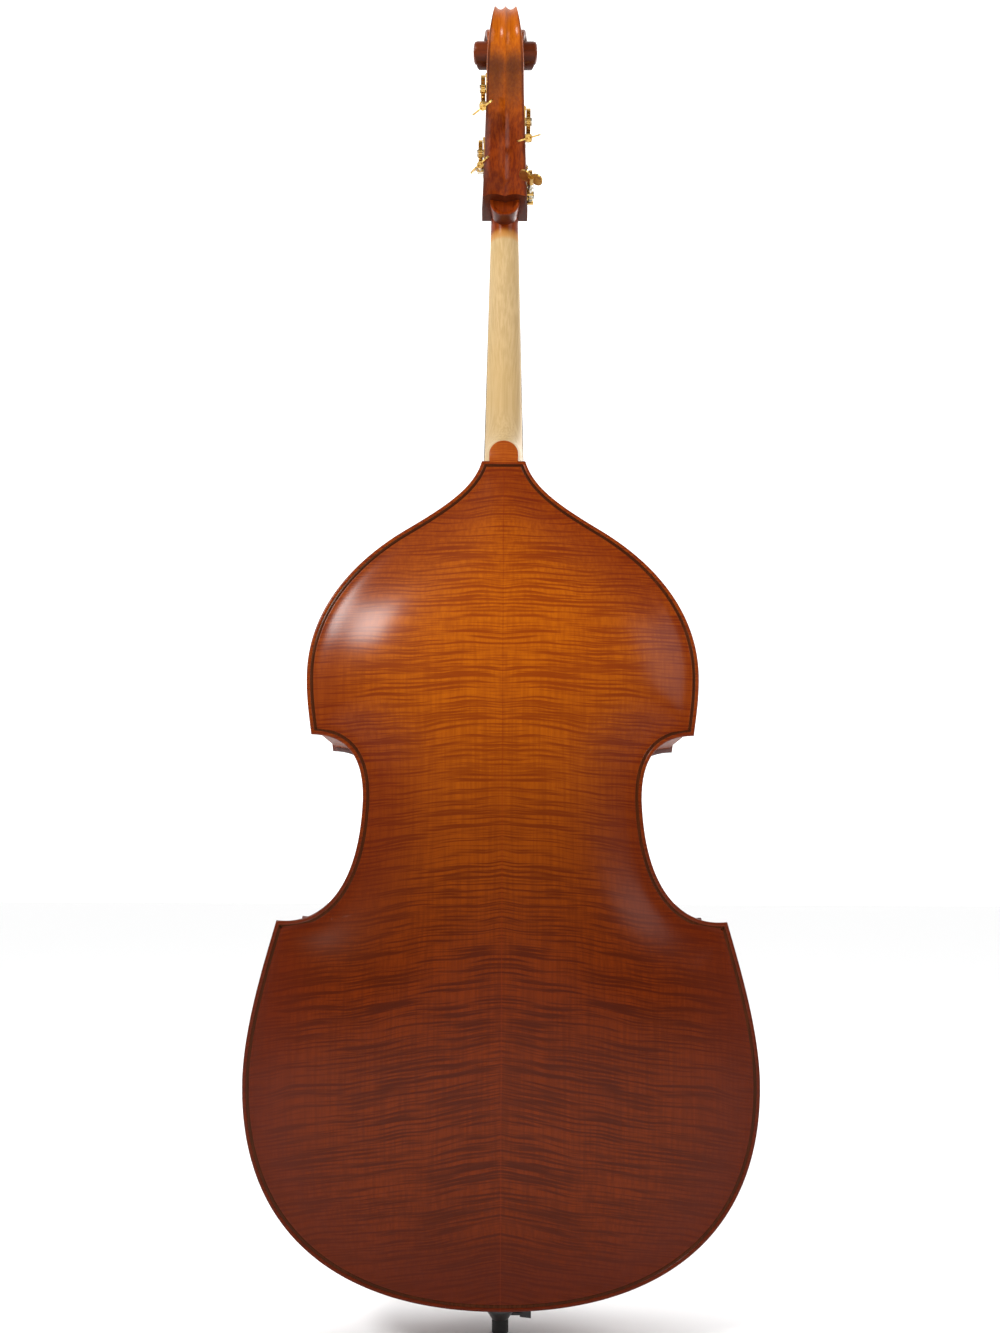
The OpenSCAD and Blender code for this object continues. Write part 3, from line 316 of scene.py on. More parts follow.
def plate_point(x, s, height, side, front):
    """A place on a plate: across, along the body, and so high over the edge of the ribs."""
    y = -RIB_DEPTH / 2 - height if front else back_y(s) + height
    return (side * x, y, s + BODY_LOW)


def plate_grid():
    """Points of one half plate seen flat: the half outline, and rows from its band to the ridge."""
    points, inward = whole_half(GRID)
    inner_edge = points + inward * FLAT_BAND
    count = len(points)
    ridge = np.stack([np.zeros(count), np.linspace(RIDGE_GAP, BODY_LEN - RIDGE_GAP, count)], axis=1)
    shares = np.linspace(0, 1, ARCH_ROWS + 1) ** ROW_SPREAD
    rows = np.array([inner_edge + (ridge - inner_edge) * u for u in shares])
    height = arch_share(rows.reshape(-1, 2), inner_edge).reshape(rows.shape[:2])
    height[0] = 0
    return points, inward, rows, height


def half_plate(name, side, front, arch):
    """A half of the top (front) or the back, as one closed shell. side is +1 treble, -1 bass."""
    points, inward, rows, height = plate_grid()
    rings, edge_values = [], []
    for i in range(len(points)):
        flat = [(points[i] + inward[i] * d, h) for d, h in EDGE_PROFILE]
        outer = [(rows[j][i], PLATE_THICK - BAND_DROP + arch * height[j][i]) for j in range(ARCH_ROWS + 1)]
        inner = [(rows[j][i], arch * height[j][i]) for j in range(ARCH_ROWS, 0, -2)]
        rings.append([plate_point(x, s, h, side, front) for (x, s), h in flat + outer + inner])
        edge_values.extend([0.0] * len(flat) + list(height[:, i]) + list(height[ARCH_ROWS:0:-2, i]))
    mesh = bpy.data.meshes.new(name)
    mesh.from_pydata([v for ring in rings for v in ring], [], loft_faces(len(rings), len(rings[0])))
    piece = place_object(name, mesh)
    set_values(piece, "arch", edge_values)
    face_outwards(mesh)
    shade(mesh, 40)
    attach(piece, "instrument")
    return piece


def purfling(name, front):
    """The dark inlay in its groove round the whole plate."""
    points, inward = whole_half(GRID)
    halves = []
    for side in (1, -1):
        rings = []
        for p, n in zip(points, inward):
            rings.append([plate_point(*(p + n * d), h, side, front) for d, h in INLAY_PROFILE])
        halves.append(loft(name + "_half", rings, None, 50))
    return join(name, halves)


def rib(name, run, side):
    """One bent strip of the ribs, just short of the back plate."""
    points, inward = run
    rings = []
    for p, n in zip(points, inward):
        out, inside = p + n * OVERHANG, p + n * (OVERHANG + RIB_THICK)
        rings.append([
            (side * out[0], -RIB_DEPTH / 2, out[1] + BODY_LOW),
            (side * inside[0], -RIB_DEPTH / 2, inside[1] + BODY_LOW),
            (side * inside[0], back_y(inside[1]) - RIB_GAP, inside[1] + BODY_LOW),
            (side * out[0], back_y(out[1]) - RIB_GAP, out[1] + BODY_LOW),
        ])
    return loft(name, rings)


def button():
    """The half-round tongue of the back that covers the neck's heel."""
    radius, height, foot, middle = 0.020, 0.030, -0.004, 0.008
    slope = radians(7.6)
    lean = 0.9 * sin(slope)
    top = [(radius * cos(a), height - radius + radius * sin(a)) for a in np.linspace(0, pi, 25)]
    outline = [(radius, foot)] + top + [(-radius, foot)]
    rings = []
    for depth, shrink in ((-0.0002, 0.0), (0.0052, 0.0), (0.0066, 0.0005), (0.0071, 0.0018)):
        ring = []
        for x, z in outline:
            k = 1 - shrink / sqrt(x * x + (z - middle) ** 2)
            z = middle + (z - middle) * k
            y = back_y(BODY_LEN) + depth * cos(slope) - z * lean
            ring.append((x * k, y, BODY_LOW + BODY_LEN + z * cos(slope) + depth * sin(slope)))
        rings.append(ring)
    return loft("back_button", rings, sharp=50)


def f_hole_cutter(side):
    """A prism in the shape of one f-hole, standing through the top."""
    stem = bezier([(0.078, 0.588), (0.058, 0.540), (0.128, 0.450), (0.108, 0.402)], np.linspace(0, 1, 25))
    along = np.gradient(stem, axis=0)
    across = np.stack([-along[:, 1], along[:, 0]], axis=1)
    across /= np.linalg.norm(across, axis=1)[:, None]
    narrow, swell = 0.004, 0.0045
    width = (narrow + swell * np.sin(np.linspace(0, pi, 25)))[:, None]
    outlines = [np.concatenate([stem + across * width, (stem - across * width)[::-1]])]
    for centre, radius in (((0.070, 0.585), 0.011), ((0.117, 0.403), 0.014)):
        turn = np.linspace(0, 2 * pi, 32, endpoint=False)
        eye = [centre[0] + radius * np.cos(turn), centre[1] + radius * np.sin(turn)]
        outlines.append(np.stack(eye, axis=1))
    inside, outside = -0.085, -0.145
    cutters = []
    for outline in outlines:
        rings = [[(side * x, y, s + BODY_LOW) for x, s in outline] for y in (inside, outside)]
        cutters.append(loft("f_hole", rings, None))
    return cutters


# ---- neck and head ----


def seat_y(s):
    """Depth of the fingerboard's seat at height s over the body's lower edge."""
    return SEAT_Y + (s - BODY_LEN) * NECK_SLOPE


def head_point(x, back, up):
    """A point in the head's frame: across, back from the pegbox's front, up along it."""
    y = seat_y(NUT_S) + back * cos(HEAD_TILT) + up * sin(HEAD_TILT)
    return (x, y, NUT_S + BODY_LOW - back * sin(HEAD_TILT) + up * cos(HEAD_TILT))


# Height over the body's edge: depth behind the fingerboard's seat, and how square the back is
NECK_DEPTH = [
    mm(0, 194), mm(14, 189), mm(31, 181), mm(42, 160), mm(54, 122), mm(70, 86), mm(92, 59), mm(120, 43),
    mm(160, 35), mm(230, 31), mm(330, 29), mm(400, 27), mm(422, 28),
]
NECK_SQUARE = [(0, 0.5), (0.030, 0.55), (0.060, 0.8), (0.110, 1.0), (0.425, 1.0)]


def neck_shaft():
    """Heel and shaft, with flat sides at the seat that turn into a rounded back."""
    rings = []
    for h in np.concatenate([np.linspace(0, 0.13, 30), np.linspace(0.136, NECK_TOP, 24)]):
        s = BODY_LEN + h
        half = lerp(NECK_HALF_HEEL, NECK_HALF_NUT, h / NECK_LEN)
        depth = smooth_table(NECK_DEPTH, h)
        square = smooth_table(NECK_SQUARE, h)
        side = min(0.006, depth / 4)
        rise = max(square, 0.75)
        z = s + BODY_LOW
        ring = [(-half, seat_y(s), z), (half, seat_y(s), z)]
        for a in np.linspace(0, pi, 29):
            c = cos(a)
            x = half * (abs(c) ** square) * (1 if c >= 0 else -1)
            ring.append((x, seat_y(s) + side + (depth - side) * sin(a) ** rise, z))
        rings.append(ring)
    return loft("neck_shaft", rings, None, 50)


HEAD_BACK = [
    [mm(58, 28), mm(60, 58), mm(50, 92), mm(47, 126)],
    [mm(47, 126), mm(44.5, 152), mm(51, 168), mm(59, 188)],
]
SCROLL_CENTRE = mm(15, 218)
SCROLL_RADIUS = [
    (-35, 0.0535), (0, 0.055), (60, 0.057), (90, 0.057), (135, 0.054), (180, 0.048), (225, 0.042),
    (270, 0.038), (360, 0.033), (450, 0.0285), (540, 0.0245), (630, 0.0205), (720, 0.0175),
]
HEAD_HALF = [
    mm(0, 34.5), mm(5, 34.5), mm(118, 30), mm(178, 27.5), mm(205, 27), mm(245, 22), mm(280, 14.5),
]
PEGBOX_LEN = 0.176
# Shares of the half width, and depths, of the carving down the back of the head
FLUTE_EDGE = 0.9
FLUTE_DEPTH = 0.0042
CHAMFER_FROM = 0.93
CHAMFER_WIDE = 0.07
CHAMFER_DEPTH = 0.0022
CHAMFER_IN = 0.0012


def head_stations():
    """The head's outline in its own frame, as (back, up, flute depth share), all the way round."""
    stations = []
    for number, curve in enumerate(HEAD_BACK):
        points = bezier(curve, np.linspace(0, 1, 14))
        for p in points if number == 0 else points[1:]:
            stations.append((p[0], p[1], 1.0))
    for angle in range(-25, 271, 6):
        r = smooth_table(SCROLL_RADIUS, angle)
        flute = 1.0 if angle < 190 else max(0.0, 1 - (angle - 190) / 60)
        a = radians(angle)
        stations.append((SCROLL_CENTRE[0] + r * cos(a), SCROLL_CENTRE[1] + r * sin(a), flute))
    for back, up in ((0.004, PEGBOX_LEN), (0, PEGBOX_LEN - 0.004), (0, 0.12), (0, 0.06), (0, 0.0)):
        stations.append((back, up, 0.0))
    stations.append((0.029, 0.0141, 0.0))
    return stations


def head_blank():
    """Pegbox and scroll as one solid, with two flutes and a middle ridge down its back."""
    stations = head_stations()
    flat = np.array([(b, u) for b, u, _ in stations])
    along = np.roll(flat, -1, axis=0) - np.roll(flat, 1, axis=0)
    inward = np.stack([-along[:, 1], along[:, 0]], axis=1)
    inward /= np.linalg.norm(inward, axis=1)[:, None]
    columns = [-1, -0.975, -0.93, -0.86, -0.72, -0.58, -0.44, -0.3, -0.16, -0.07, 0]
    columns += [-c for c in reversed(columns[:-1])]
    verts = []
    for i, (back, up, flute) in enumerate(stations):
        half = smooth_table(HEAD_HALF, up)
        for c in columns:
            edge = max(0.0, (abs(c) - CHAMFER_FROM) / CHAMFER_WIDE)
            hollow = sin(pi * abs(c) / FLUTE_EDGE) ** 0.8 * FLUTE_DEPTH if abs(c) < FLUTE_EDGE else 0.0
            depth = flute * (hollow + CHAMFER_DEPTH * edge)
            x = c * half
            if abs(c) > 0.97:
                x -= CHAMFER_IN * flute * edge * (1 if c > 0 else -1)
            verts.append(head_point(x, back + inward[i][0] * depth, up + inward[i][1] * depth))
    count, wide = len(stations), len(columns)
    faces = []
    for i in range(count):
        k = (i + 1) % count
        for j in range(wide - 1):
            faces.append([i * wide + j, i * wide + j + 1, k * wide + j + 1, k * wide + j])
    faces.append([i * wide for i in range(count)])
    faces.append([i * wide + wide - 1 for i in range(count)])
    blank = make_piece("head_blank", verts, faces, None, 30)
    form = bmesh.new()
    form.from_mesh(blank.data)
    bmesh.ops.triangulate(form, faces=[f for f in form.faces if len(f.verts) > 4])
    form.to_mesh(blank.data)
    form.free()
    return blank


def head_prism(name, outline, half_low, half_high, low_up, high_up):
    """A cutter drawn as (back, up) points, as wide as the pegbox's inside at each height."""
    rings = []
    for sign in (1, -1):
        ring = []
        for back, up in outline:
            t = min(max((up - low_up) / (high_up - low_up), 0), 1)
            ring.append(head_point(sign * lerp(half_low, half_high, t), back, up))
        rings.append(ring)
    return loft(name, rings, None)


def pegbox_cavity():
    """The open trough that the posts stand across."""
    outline = [
        mm(-15, 4), mm(2, 4), mm(40, 26), mm(44, 40), mm(45, 62), mm(40, 95), mm(36, 130), mm(35, 165),
        mm(20, 170), mm(-15, 172),
    ]
    return head_prism("cavity", outline, 0.0215, 0.0145, 0.004, 0.19)


# Each machine: side, place along the pegbox, depth of its post, turn on the cheek
MACHINES = {
    "E": (-1, 0.0497, 0.022, 26),
    "A": (-1, 0.1293, 0.026, -8),
    "D": (1, 0.171, 0.026, -12),
    "G": (1, 0.088, 0.026, 0),
}


def machine_pocket(name):
    """The sunk seat of one machine plate, with room for its gear and worm."""
    side, up, back, turn = MACHINES[name]
    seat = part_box("plate_" + name)
    inside = seat[0].x if side > 0 else -seat[1].x
    t = radians(turn)

    def place(x, y, z):
        return head_point(side * (inside + x), back + y * cos(t) - z * sin(t), up + y * sin(t) + z * cos(t))

    gear_room, outside = 0.0182, 0.02
    turns = np.linspace(0, 2 * pi, 48, endpoint=False)
    # where each cut starts, and its outline: for the plate, the gear, the worm and the worm's shaft
    outlines = [
        (0.0, [mm(14.6, -34.1), mm(14.6, 20.1), mm(-14.6, 20.1), mm(-14.6, -34.1)]),
        (0.0016, [(gear_room * cos(a), gear_room * sin(a)) for a in turns]),
        (-0.0009, [mm(9.2, -28), mm(9.2, -13.7), mm(-9.2, -13.7), mm(-9.2, -28)]),
        (0.0014, [mm(60, -25.6), mm(60, -16.1), mm(10, -16.1), mm(10, -25.6)]),
    ]
    cutters = []
    for low, points in outlines:
        rings = [[place(x, y, z) for y, z in points] for x in (low, outside)]
        cutters.append(loft("pocket", rings, None))
    return cutters


def volute(side):
    """The turns of the scroll on one side: a shelf that climbs outwards as it winds in."""
    root, half_first, climb, first, turning = 0.004, 0.019, 0.027, 200, 520
    rings = []
    for angle in range(first, 725, 7):
        r = smooth_table(SCROLL_RADIUS, angle)
        half = half_first + climb * ((angle - first) / turning) ** 1.35
        inner = r * 0.64
        a = radians(angle)
        profile = [
            (r, root), (r, half - 0.0015), (r - 0.0012, half), (inner + 0.004, half), (inner, half - 0.0035),
            (inner - 0.002, root),
        ]
        rings.append([
            head_point(side * x, SCROLL_CENTRE[0] + d * cos(a), SCROLL_CENTRE[1] + d * sin(a))
            for d, x in profile
        ])
    turns = loft("volute", rings, None, 40)
    eye = []
    for x, r in (mm(4, 15), mm(40, 15), mm(43.5, 14), mm(45.2, 11), mm(46, 6)):
        eye.append([
            head_point(side * x, SCROLL_CENTRE[0] + r * cos(a), SCROLL_CENTRE[1] + r * sin(a))
            for a in np.linspace(0, 2 * pi, 40, endpoint=False)
        ])
    return [turns, loft("eye", eye, None, 40)]


def chin():
    """The half-round shield below the pegbox."""
    face_y = seat_y(NUT_S) + 0.058 * cos(HEAD_TILT)
    nut_z = NUT_S + BODY_LOW
    radius, top = 0.0218, 0.006
    steps = (mm(-45, 4), mm(-6, 0), mm(-1.2, 0), mm(0, 1.2), mm(-0.5, 3.5), mm(-3, 7))
    rings = []
    for depth, shrink in steps:
        r = radius - shrink
        ring = [(r, top), (-r, top)] + [(r * cos(a), r * sin(a)) for a in np.linspace(pi, 2 * pi, 33)]
        rings.append([(x, face_y + depth, nut_z + z) for x, z in ring])
    return loft("chin", rings, None, 40)


def neck():
    """Shaft, shield, hollowed head and both sides of the scroll, as one piece of wood."""
    head = head_blank()
    pockets = [c for name in MACHINES for c in machine_pocket(name)]
    cut(head, [pegbox_cavity()] + pockets)
    parts = [neck_shaft(), head, chin()]
    for side in (1, -1):
        parts += volute(side)
    piece = join("neck_and_scroll", parts)
    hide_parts("neck")
    return piece


# ---- materials ----


class Nodes:
    """Short calls for building a shader tree."""

    def __init__(self, tree):
        self.tree = tree

    def add(self, kind, **values):
        node = self.tree.nodes.new(kind)
        for key, value in values.items():
            if key in node.inputs:
                node.inputs[key].default_value = value
            else:
                setattr(node, key, value)
        return node

    def link(self, source, target):
        self.tree.links.new(source, target)

    def feed(self, node, values):
        """Gives numbered sockets a plain number or colour, or a link from another node."""
        for number, value in values.items():
            if isinstance(value, (int, float, tuple)):
                node.inputs[number].default_value = value
            else:
                self.link(value, node.inputs[number])

    def math(self, operation, a, b=0.0):
        node = self.add("ShaderNodeMath", operation=operation)
        self.feed(node, {0: a, 1: b})
        return node.outputs[0]

    def times(self, a, b):
        return self.math("MULTIPLY", a, b)

    def mix(self, factor, a, b):
        node = self.add("ShaderNodeMix", data_type="RGBA")
        self.feed(node, {0: factor, 6: a, 7: b})
        return node.outputs[2]

    def ramp(self, value, low, high):
        """Rises smoothly from 0 at low to 1 at high."""
        node = self.add("ShaderNodeMapRange", interpolation_type="SMOOTHSTEP")
        node.inputs["From Min"].default_value = low
        node.inputs["From Max"].default_value = high
        self.link(value, node.inputs["Value"])
        return node.outputs[0]

    def noise(self, vector, scale, detail=3.0, roughness=0.5):
        node = self.add("ShaderNodeTexNoise", Scale=scale, Detail=detail, Roughness=roughness)
        self.link(vector, node.inputs["Vector"])
        return node.outputs["Fac"]

    def combine(self, x, y, z):
        node = self.add("ShaderNodeCombineXYZ")
        self.feed(node, {0: x, 1: y, 2: z})
        return node.outputs[0]

    def place(self):
        """The place on the object, whole and split into X, Y and Z."""
        whole = self.add("ShaderNodeTexCoord").outputs["Object"]
        split = self.add("ShaderNodeSeparateXYZ")
        self.link(whole, split.inputs[0])
        return whole, split.outputs


def group_tree(name, inputs, outputs):
    tree = bpy.data.node_groups.new(name, "ShaderNodeTree")
    for socket, kind, value in inputs:
        made = tree.interface.new_socket(socket, in_out="INPUT", socket_type=kind)
        made.default_value = value
    for socket, kind in outputs:
        tree.interface.new_socket(socket, in_out="OUTPUT", socket_type=kind)
    return tree, tree.nodes.new("NodeGroupInput"), tree.nodes.new("NodeGroupOutput")


def flame_group():
    """Flamed maple: fine bands across the grain, matched on both sides of the joint."""
    tree, given, out = group_tree(
        "flamed_maple",
        [("Lean", "NodeSocketFloat", 0.16), ("Bands", "NodeSocketFloat", 300.0)],
        [("Flame", "NodeSocketFloat"), ("Grain", "NodeSocketFloat"), ("Cloud", "NodeSocketFloat")],
    )
    n = Nodes(tree)
    place, axes = n.place()
    across = n.math("ABSOLUTE", axes["X"])
    up = axes["Z"]
    # the bands lean more towards the lower end, and wander
    lean = n.times(n.ramp(up, 1.0, 0.3), given.outputs["Lean"])
    along = n.math("ADD", up, n.times(across, lean))
    wander = n.noise(n.combine(n.times(across, 7.0), 0.0, n.times(along, 8.0)), 1.0, 2.0)
    bent = n.math("ADD", along, n.times(wander, 0.022))
    fine_place = n.combine(n.times(across, 10.0), 0.0, n.times(bent, given.outputs["Bands"]))
    fine = n.noise(fine_place, 1.0, 2.0, 0.6)
    broad = n.noise(n.combine(n.times(across, 6.0), 3.0, n.times(bent, 30.0)), 1.0, 2.0, 0.5)
    bands = n.math("ADD", n.times(fine, 0.8), n.times(broad, 0.2))
    n.link(n.ramp(bands, 0.40, 0.565), out.inputs["Flame"])
    grain_place = n.combine(n.times(axes["X"], 260.0), n.times(axes["Y"], 300.0), n.times(up, 11.0))
    n.link(n.noise(grain_place, 1.0, 2.0, 0.6), out.inputs["Grain"])
    n.link(n.noise(place, 5.0, 3.0, 0.5), out.inputs["Cloud"])
    return tree


def streak_group():
    """Fine streaks, drawn out along the height where Long is less than Fine, and banded where it is more."""
    tree, given, out = group_tree(
        "streaks",
        [("Fine", "NodeSocketFloat", 400.0), ("Long", "NodeSocketFloat", 6.0)],
        [("Streak", "NodeSocketFloat"), ("Cloud", "NodeSocketFloat")],
    )
    n = Nodes(tree)
    place, axes = n.place()
    fine, long = given.outputs["Fine"], given.outputs["Long"]
    stretched = n.combine(n.times(axes["X"], fine), n.times(axes["Y"], fine), n.times(axes["Z"], long))
    n.link(n.noise(stretched, 1.0, 3.0, 0.6), out.inputs["Streak"])
    n.link(n.noise(place, 9.0, 3.0, 0.55), out.inputs["Cloud"])
    return tree


def scaled(colour, red, green, blue):
    """A colour with each channel taken down to a share of itself."""
    return (colour[0] * red, colour[1] * green, colour[2] * blue, 1)


def new_material(name):
    material = bpy.data.materials.new(name)
    material.use_nodes = True
    tree = material.node_tree
    shader = next(node for node in tree.nodes if node.type == "BSDF_PRINCIPLED")
    return material, Nodes(tree), shader


def placed(n, tree, **values):
    """A shader group put into a material with its own values."""
    node = n.add("ShaderNodeGroup")
    node.node_tree = tree
    for key, value in values.items():
        node.inputs[key].default_value = value
    return node


def bump(n, shader, height, strength, distance):
    node = n.add("ShaderNodeBump", Strength=strength, Distance=distance)
    n.link(height, node.inputs["Height"])
    n.link(node.outputs["Normal"], shader.inputs["Normal"])


def arch_height(n):
    """The stored height of the arch, 0 at the plate's edge and about 1 in the middle."""
    return n.add("ShaderNodeAttribute", attribute_name="arch").outputs["Fac"]


def gloss(shader, roughness, coat=0.0, coat_roughness=0.08, metallic=0.0):
    shader.inputs["Roughness"].default_value = roughness
    shader.inputs["Coat Weight"].default_value = coat
    shader.inputs["Coat Roughness"].default_value = coat_roughness
    shader.inputs["Metallic"].default_value = metallic


def facing_down(n):
    """1 where a face looks downwards, into the shade."""
    split = n.add("ShaderNodeSeparateXYZ")
    n.link(n.add("ShaderNodeNewGeometry").outputs["Normal"], split.inputs[0])
    return n.ramp(split.outputs["Z"], -0.45, -0.8)


# The darkest colour of the painted shade at a plate's edges
EDGE_SHADE_RED = (0.03, 0.003, 0.0005, 1)


def varnished_maple(name, flame, light, dark, edge, lean=0.16, plate=True):
    """Varnish over flamed maple. A plate is golden high in the middle, redder and darker low
    down, and darker still towards its edges with painted shade."""
    material, n, shader = new_material(name)
    figure = placed(n, flame, Lean=lean)
    axes = n.place()[1]
    low = n.ramp(axes["Z"], 1.0, 0.44)
    light = n.mix(low, light, scaled(light, 0.31, 0.155, 0.02))
    dark = n.mix(low, dark, scaled(dark, 0.22, 0.11, 0.02))
    if plate:
        # painted shade darkens the plate towards its edges; the flames run out to the edge, in its darker
        # colours
        painted_edge_shade = n.times(n.math("SUBTRACT", 1.0, n.ramp(arch_height(n), 0.0, 0.95)), 0.92)
        rim = n.mix(low, edge, scaled(edge, 0.5, 0.36, 0.1))
        light = n.mix(painted_edge_shade, light, n.mix(0.22, rim, light))
        dark = n.mix(painted_edge_shade, dark, n.mix(0.30, rim, EDGE_SHADE_RED))
    colour = n.mix(figure.outputs["Flame"], dark, light)
    grain = n.ramp(figure.outputs["Grain"], 0.3, 0.7)
    colour = n.mix(n.times(grain, 0.42), colour, dark)
    colour = n.mix(n.times(n.ramp(figure.outputs["Cloud"], 0.35, 0.7), 0.25), colour, dark)
    if plate:
        joint = n.ramp(n.math("ABSOLUTE", axes["X"]), 0.0009, 0.0003)
        colour = n.mix(n.times(joint, 0.35), colour, edge)
    n.link(colour, shader.inputs["Base Color"])
    varnish(shader)
    bump(n, shader, figure.outputs["Grain"], 0.08, 0.0004)
    return material


def varnish(shader, roughness=0.5, coat=0.2):
    """A warm, satin varnish."""
    gloss(shader, roughness, coat, 0.2)
    shader.inputs["Specular IOR Level"].default_value = 0.12
    shader.inputs["Specular Tint"].default_value = (1.0, 0.5, 0.12, 1)


HEAD_GOLD = (0.31, 0.060, 0.0005, 1), (0.40, 0.090, 0.001, 1)
HEAD_RED = (0.11, 0.011, 0.001, 1), (0.19, 0.026, 0.001, 1)
BARE_MAPLE = (0.41, 0.285, 0.135, 1), (0.49, 0.35, 0.18, 1)
OILED_MAPLE = (0.45, 0.30, 0.12, 1)
SCROLL_SHADE = (0.085, 0.010, 0.004, 1)
CHAMFER_SHADE = (0.07, 0.009, 0.003, 1)
UNDER_SHADE = (0.035, 0.006, 0.003, 1)
VARNISH_RIM = (0.42, 0.17, 0.03, 1)


def neck_finish(streaks):
    """Red-brown varnish on the head, bare oiled maple below it where the hand runs."""
    material, n, shader = new_material("neck_finish")
    figure = placed(n, streaks, Fine=330.0, Long=9.0)
    axes = n.place()[1]
    up = axes["Z"]
    streak = n.ramp(figure.outputs["Streak"], 0.35, 0.65)
    cloud = n.ramp(figure.outputs["Cloud"], 0.35, 0.65)
    gold = n.mix(streak, *HEAD_GOLD)
    red = n.mix(streak, *HEAD_RED)
    brown = n.mix(n.ramp(up, 1.75, 1.68), gold, red)
    across = n.math("ABSOLUTE", axes["X"])
    turns = n.times(n.ramp(across, 0.0225, 0.027), n.ramp(up, 1.74, 1.76))
    brown = n.mix(n.times(turns, 0.85), brown, SCROLL_SHADE)
    # a darker line runs along both chamfered edges of the pegbox's back
    lower_taper = n.times(n.math("SUBTRACT", up, 1.58), 0.045)
    upper_taper = n.times(n.math("MAXIMUM", n.math("SUBTRACT", up, 1.735), 0.0), 0.055)
    half_width = n.math("SUBTRACT", 0.0345, n.math("ADD", lower_taper, upper_taper))
    share = n.math("DIVIDE", across, half_width)
    line = n.times(n.ramp(share, 0.80, 0.88), n.ramp(share, 0.97, 0.93))
    brown = n.mix(n.times(line, 0.75), brown, CHAMFER_SHADE)
    brown = n.mix(n.times(facing_down(n), 0.75), brown, UNDER_SHADE)
    bare = n.mix(streak, *BARE_MAPLE)
    bare = n.mix(n.times(cloud, 0.35), bare, OILED_MAPLE)
    varnished = n.ramp(up, 1.561, 1.571)
    colour = n.mix(varnished, bare, brown)
    rim = n.times(n.ramp(up, 1.556, 1.563), n.ramp(up, 1.575, 1.567))
    colour = n.mix(n.times(rim, 0.7), colour, VARNISH_RIM)
    n.link(colour, shader.inputs["Base Color"])
    varnish(shader)
    n.link(n.times(varnished, 0.22), shader.inputs["Coat Weight"])
    bump(n, shader, figure.outputs["Streak"], 0.06, 0.0003)
    return material


def streaked(name, streaks, colours, roughness, coat=0.0, metallic=0.0, fine=400.0, long=6.0, relief=0.05,
             edge=None, varnished=False):
    """Fine streaks between two colours. A plate also gets painted shade: an edge colour towards its edges,
    and near black on faces that look downwards.
    """
    material, n, shader = new_material(name)
    figure = placed(n, streaks, Fine=fine, Long=long)
    streak, cloud = figure.outputs["Streak"], figure.outputs["Cloud"]
    mask = n.times(n.ramp(streak, 0.35, 0.65), n.ramp(cloud, 0.3, 0.7))
    colour = n.mix(mask, *colours)
    if edge:
        # painted shade: the edge colour darkens the plate towards its edges, and faces that look downwards
        # go near black
        colour = n.mix(n.ramp(arch_height(n), 0.35, 0.0), colour, edge)
        colour = n.mix(facing_down(n), colour, (0.02, 0.004, 0.002, 1))
    n.link(colour, shader.inputs["Base Color"])
    if varnished:
        varnish(shader, roughness, coat)
    else:
        gloss(shader, roughness, coat, 0.12, metallic)
    # the clouds make some places a little rougher than others
    spread = 0.12
    uneven = n.math("ADD", n.times(cloud, spread), roughness - spread / 2)
    n.link(uneven, shader.inputs["Roughness"])
    bump(n, shader, streak, relief, 0.0002)
    return material


def cover(piece, material):
    piece.data.materials.clear()
    piece.data.materials.append(material)


# ---- the object ----

flame = flame_group()
streaks = streak_group()

# The back's edge colour is painted shade towards the plate's edges, and it also draws the dark centre joint
back_maple = varnished_maple(
    "back_varnish", flame,
    light=(0.41, 0.093, 0.001, 1), dark=(0.22, 0.033, 0.0005, 1), edge=(0.15, 0.013, 0.001, 1),
)
rib_maple = varnished_maple(
    "rib_varnish", flame,
    light=(0.34, 0.075, 0.006, 1), dark=(0.22, 0.034, 0.003, 1), edge=(0.10, 0.012, 0.003, 1),
    lean=0.0, plate=False,
)
# The top's edge colour is painted shade towards its edges
top_spruce = streaked(
    "top_varnish", streaks, ((0.40, 0.12, 0.014, 1), (0.27, 0.062, 0.006, 1)),
    roughness=0.42, coat=0.3, fine=420.0, long=1.5, edge=(0.10, 0.014, 0.004, 1),
)
inlay = streaked(
    "purfling_wood", streaks, ((0.030, 0.005, 0.001, 1), (0.055, 0.010, 0.002, 1)),
    roughness=0.45, coat=0.12, varnished=True,
)
inside_wood = streaked(
    "inside_spruce", streaks, ((0.52, 0.36, 0.18, 1), (0.40, 0.25, 0.11, 1)), roughness=0.7
)
bridge_maple = streaked(
    "bridge_maple", streaks, ((0.58, 0.40, 0.19, 1), (0.44, 0.27, 0.11, 1)), roughness=0.55
)
ebony = streaked(
    "ebony", streaks, ((0.012, 0.010, 0.009, 1), (0.030, 0.022, 0.018, 1)),
    roughness=0.32, coat=0.25, fine=500.0, long=8.0,
)
brass = streaked(
    "brass", streaks, ((0.62, 0.39, 0.11, 1), (0.36, 0.20, 0.05, 1)),
    roughness=0.28, metallic=1.0, fine=60.0, long=60.0, relief=0.03,
)
nickel = streaked(
    "nickel", streaks, ((0.60, 0.57, 0.50, 1), (0.38, 0.34, 0.28, 1)),
    roughness=0.25, metallic=1.0, fine=90.0, long=90.0, relief=0.03,
)
steel = streaked(
    "steel", streaks, ((0.56, 0.55, 0.53, 1), (0.42, 0.41, 0.40, 1)),
    roughness=0.32, metallic=1.0, fine=300.0, long=20.0, relief=0.03,
)
wound_steel = streaked(
    "wound_steel", streaks, ((0.50, 0.49, 0.46, 1), (0.30, 0.29, 0.27, 1)),
    roughness=0.3, metallic=1.0, fine=60.0, long=2500.0, relief=0.4,
)
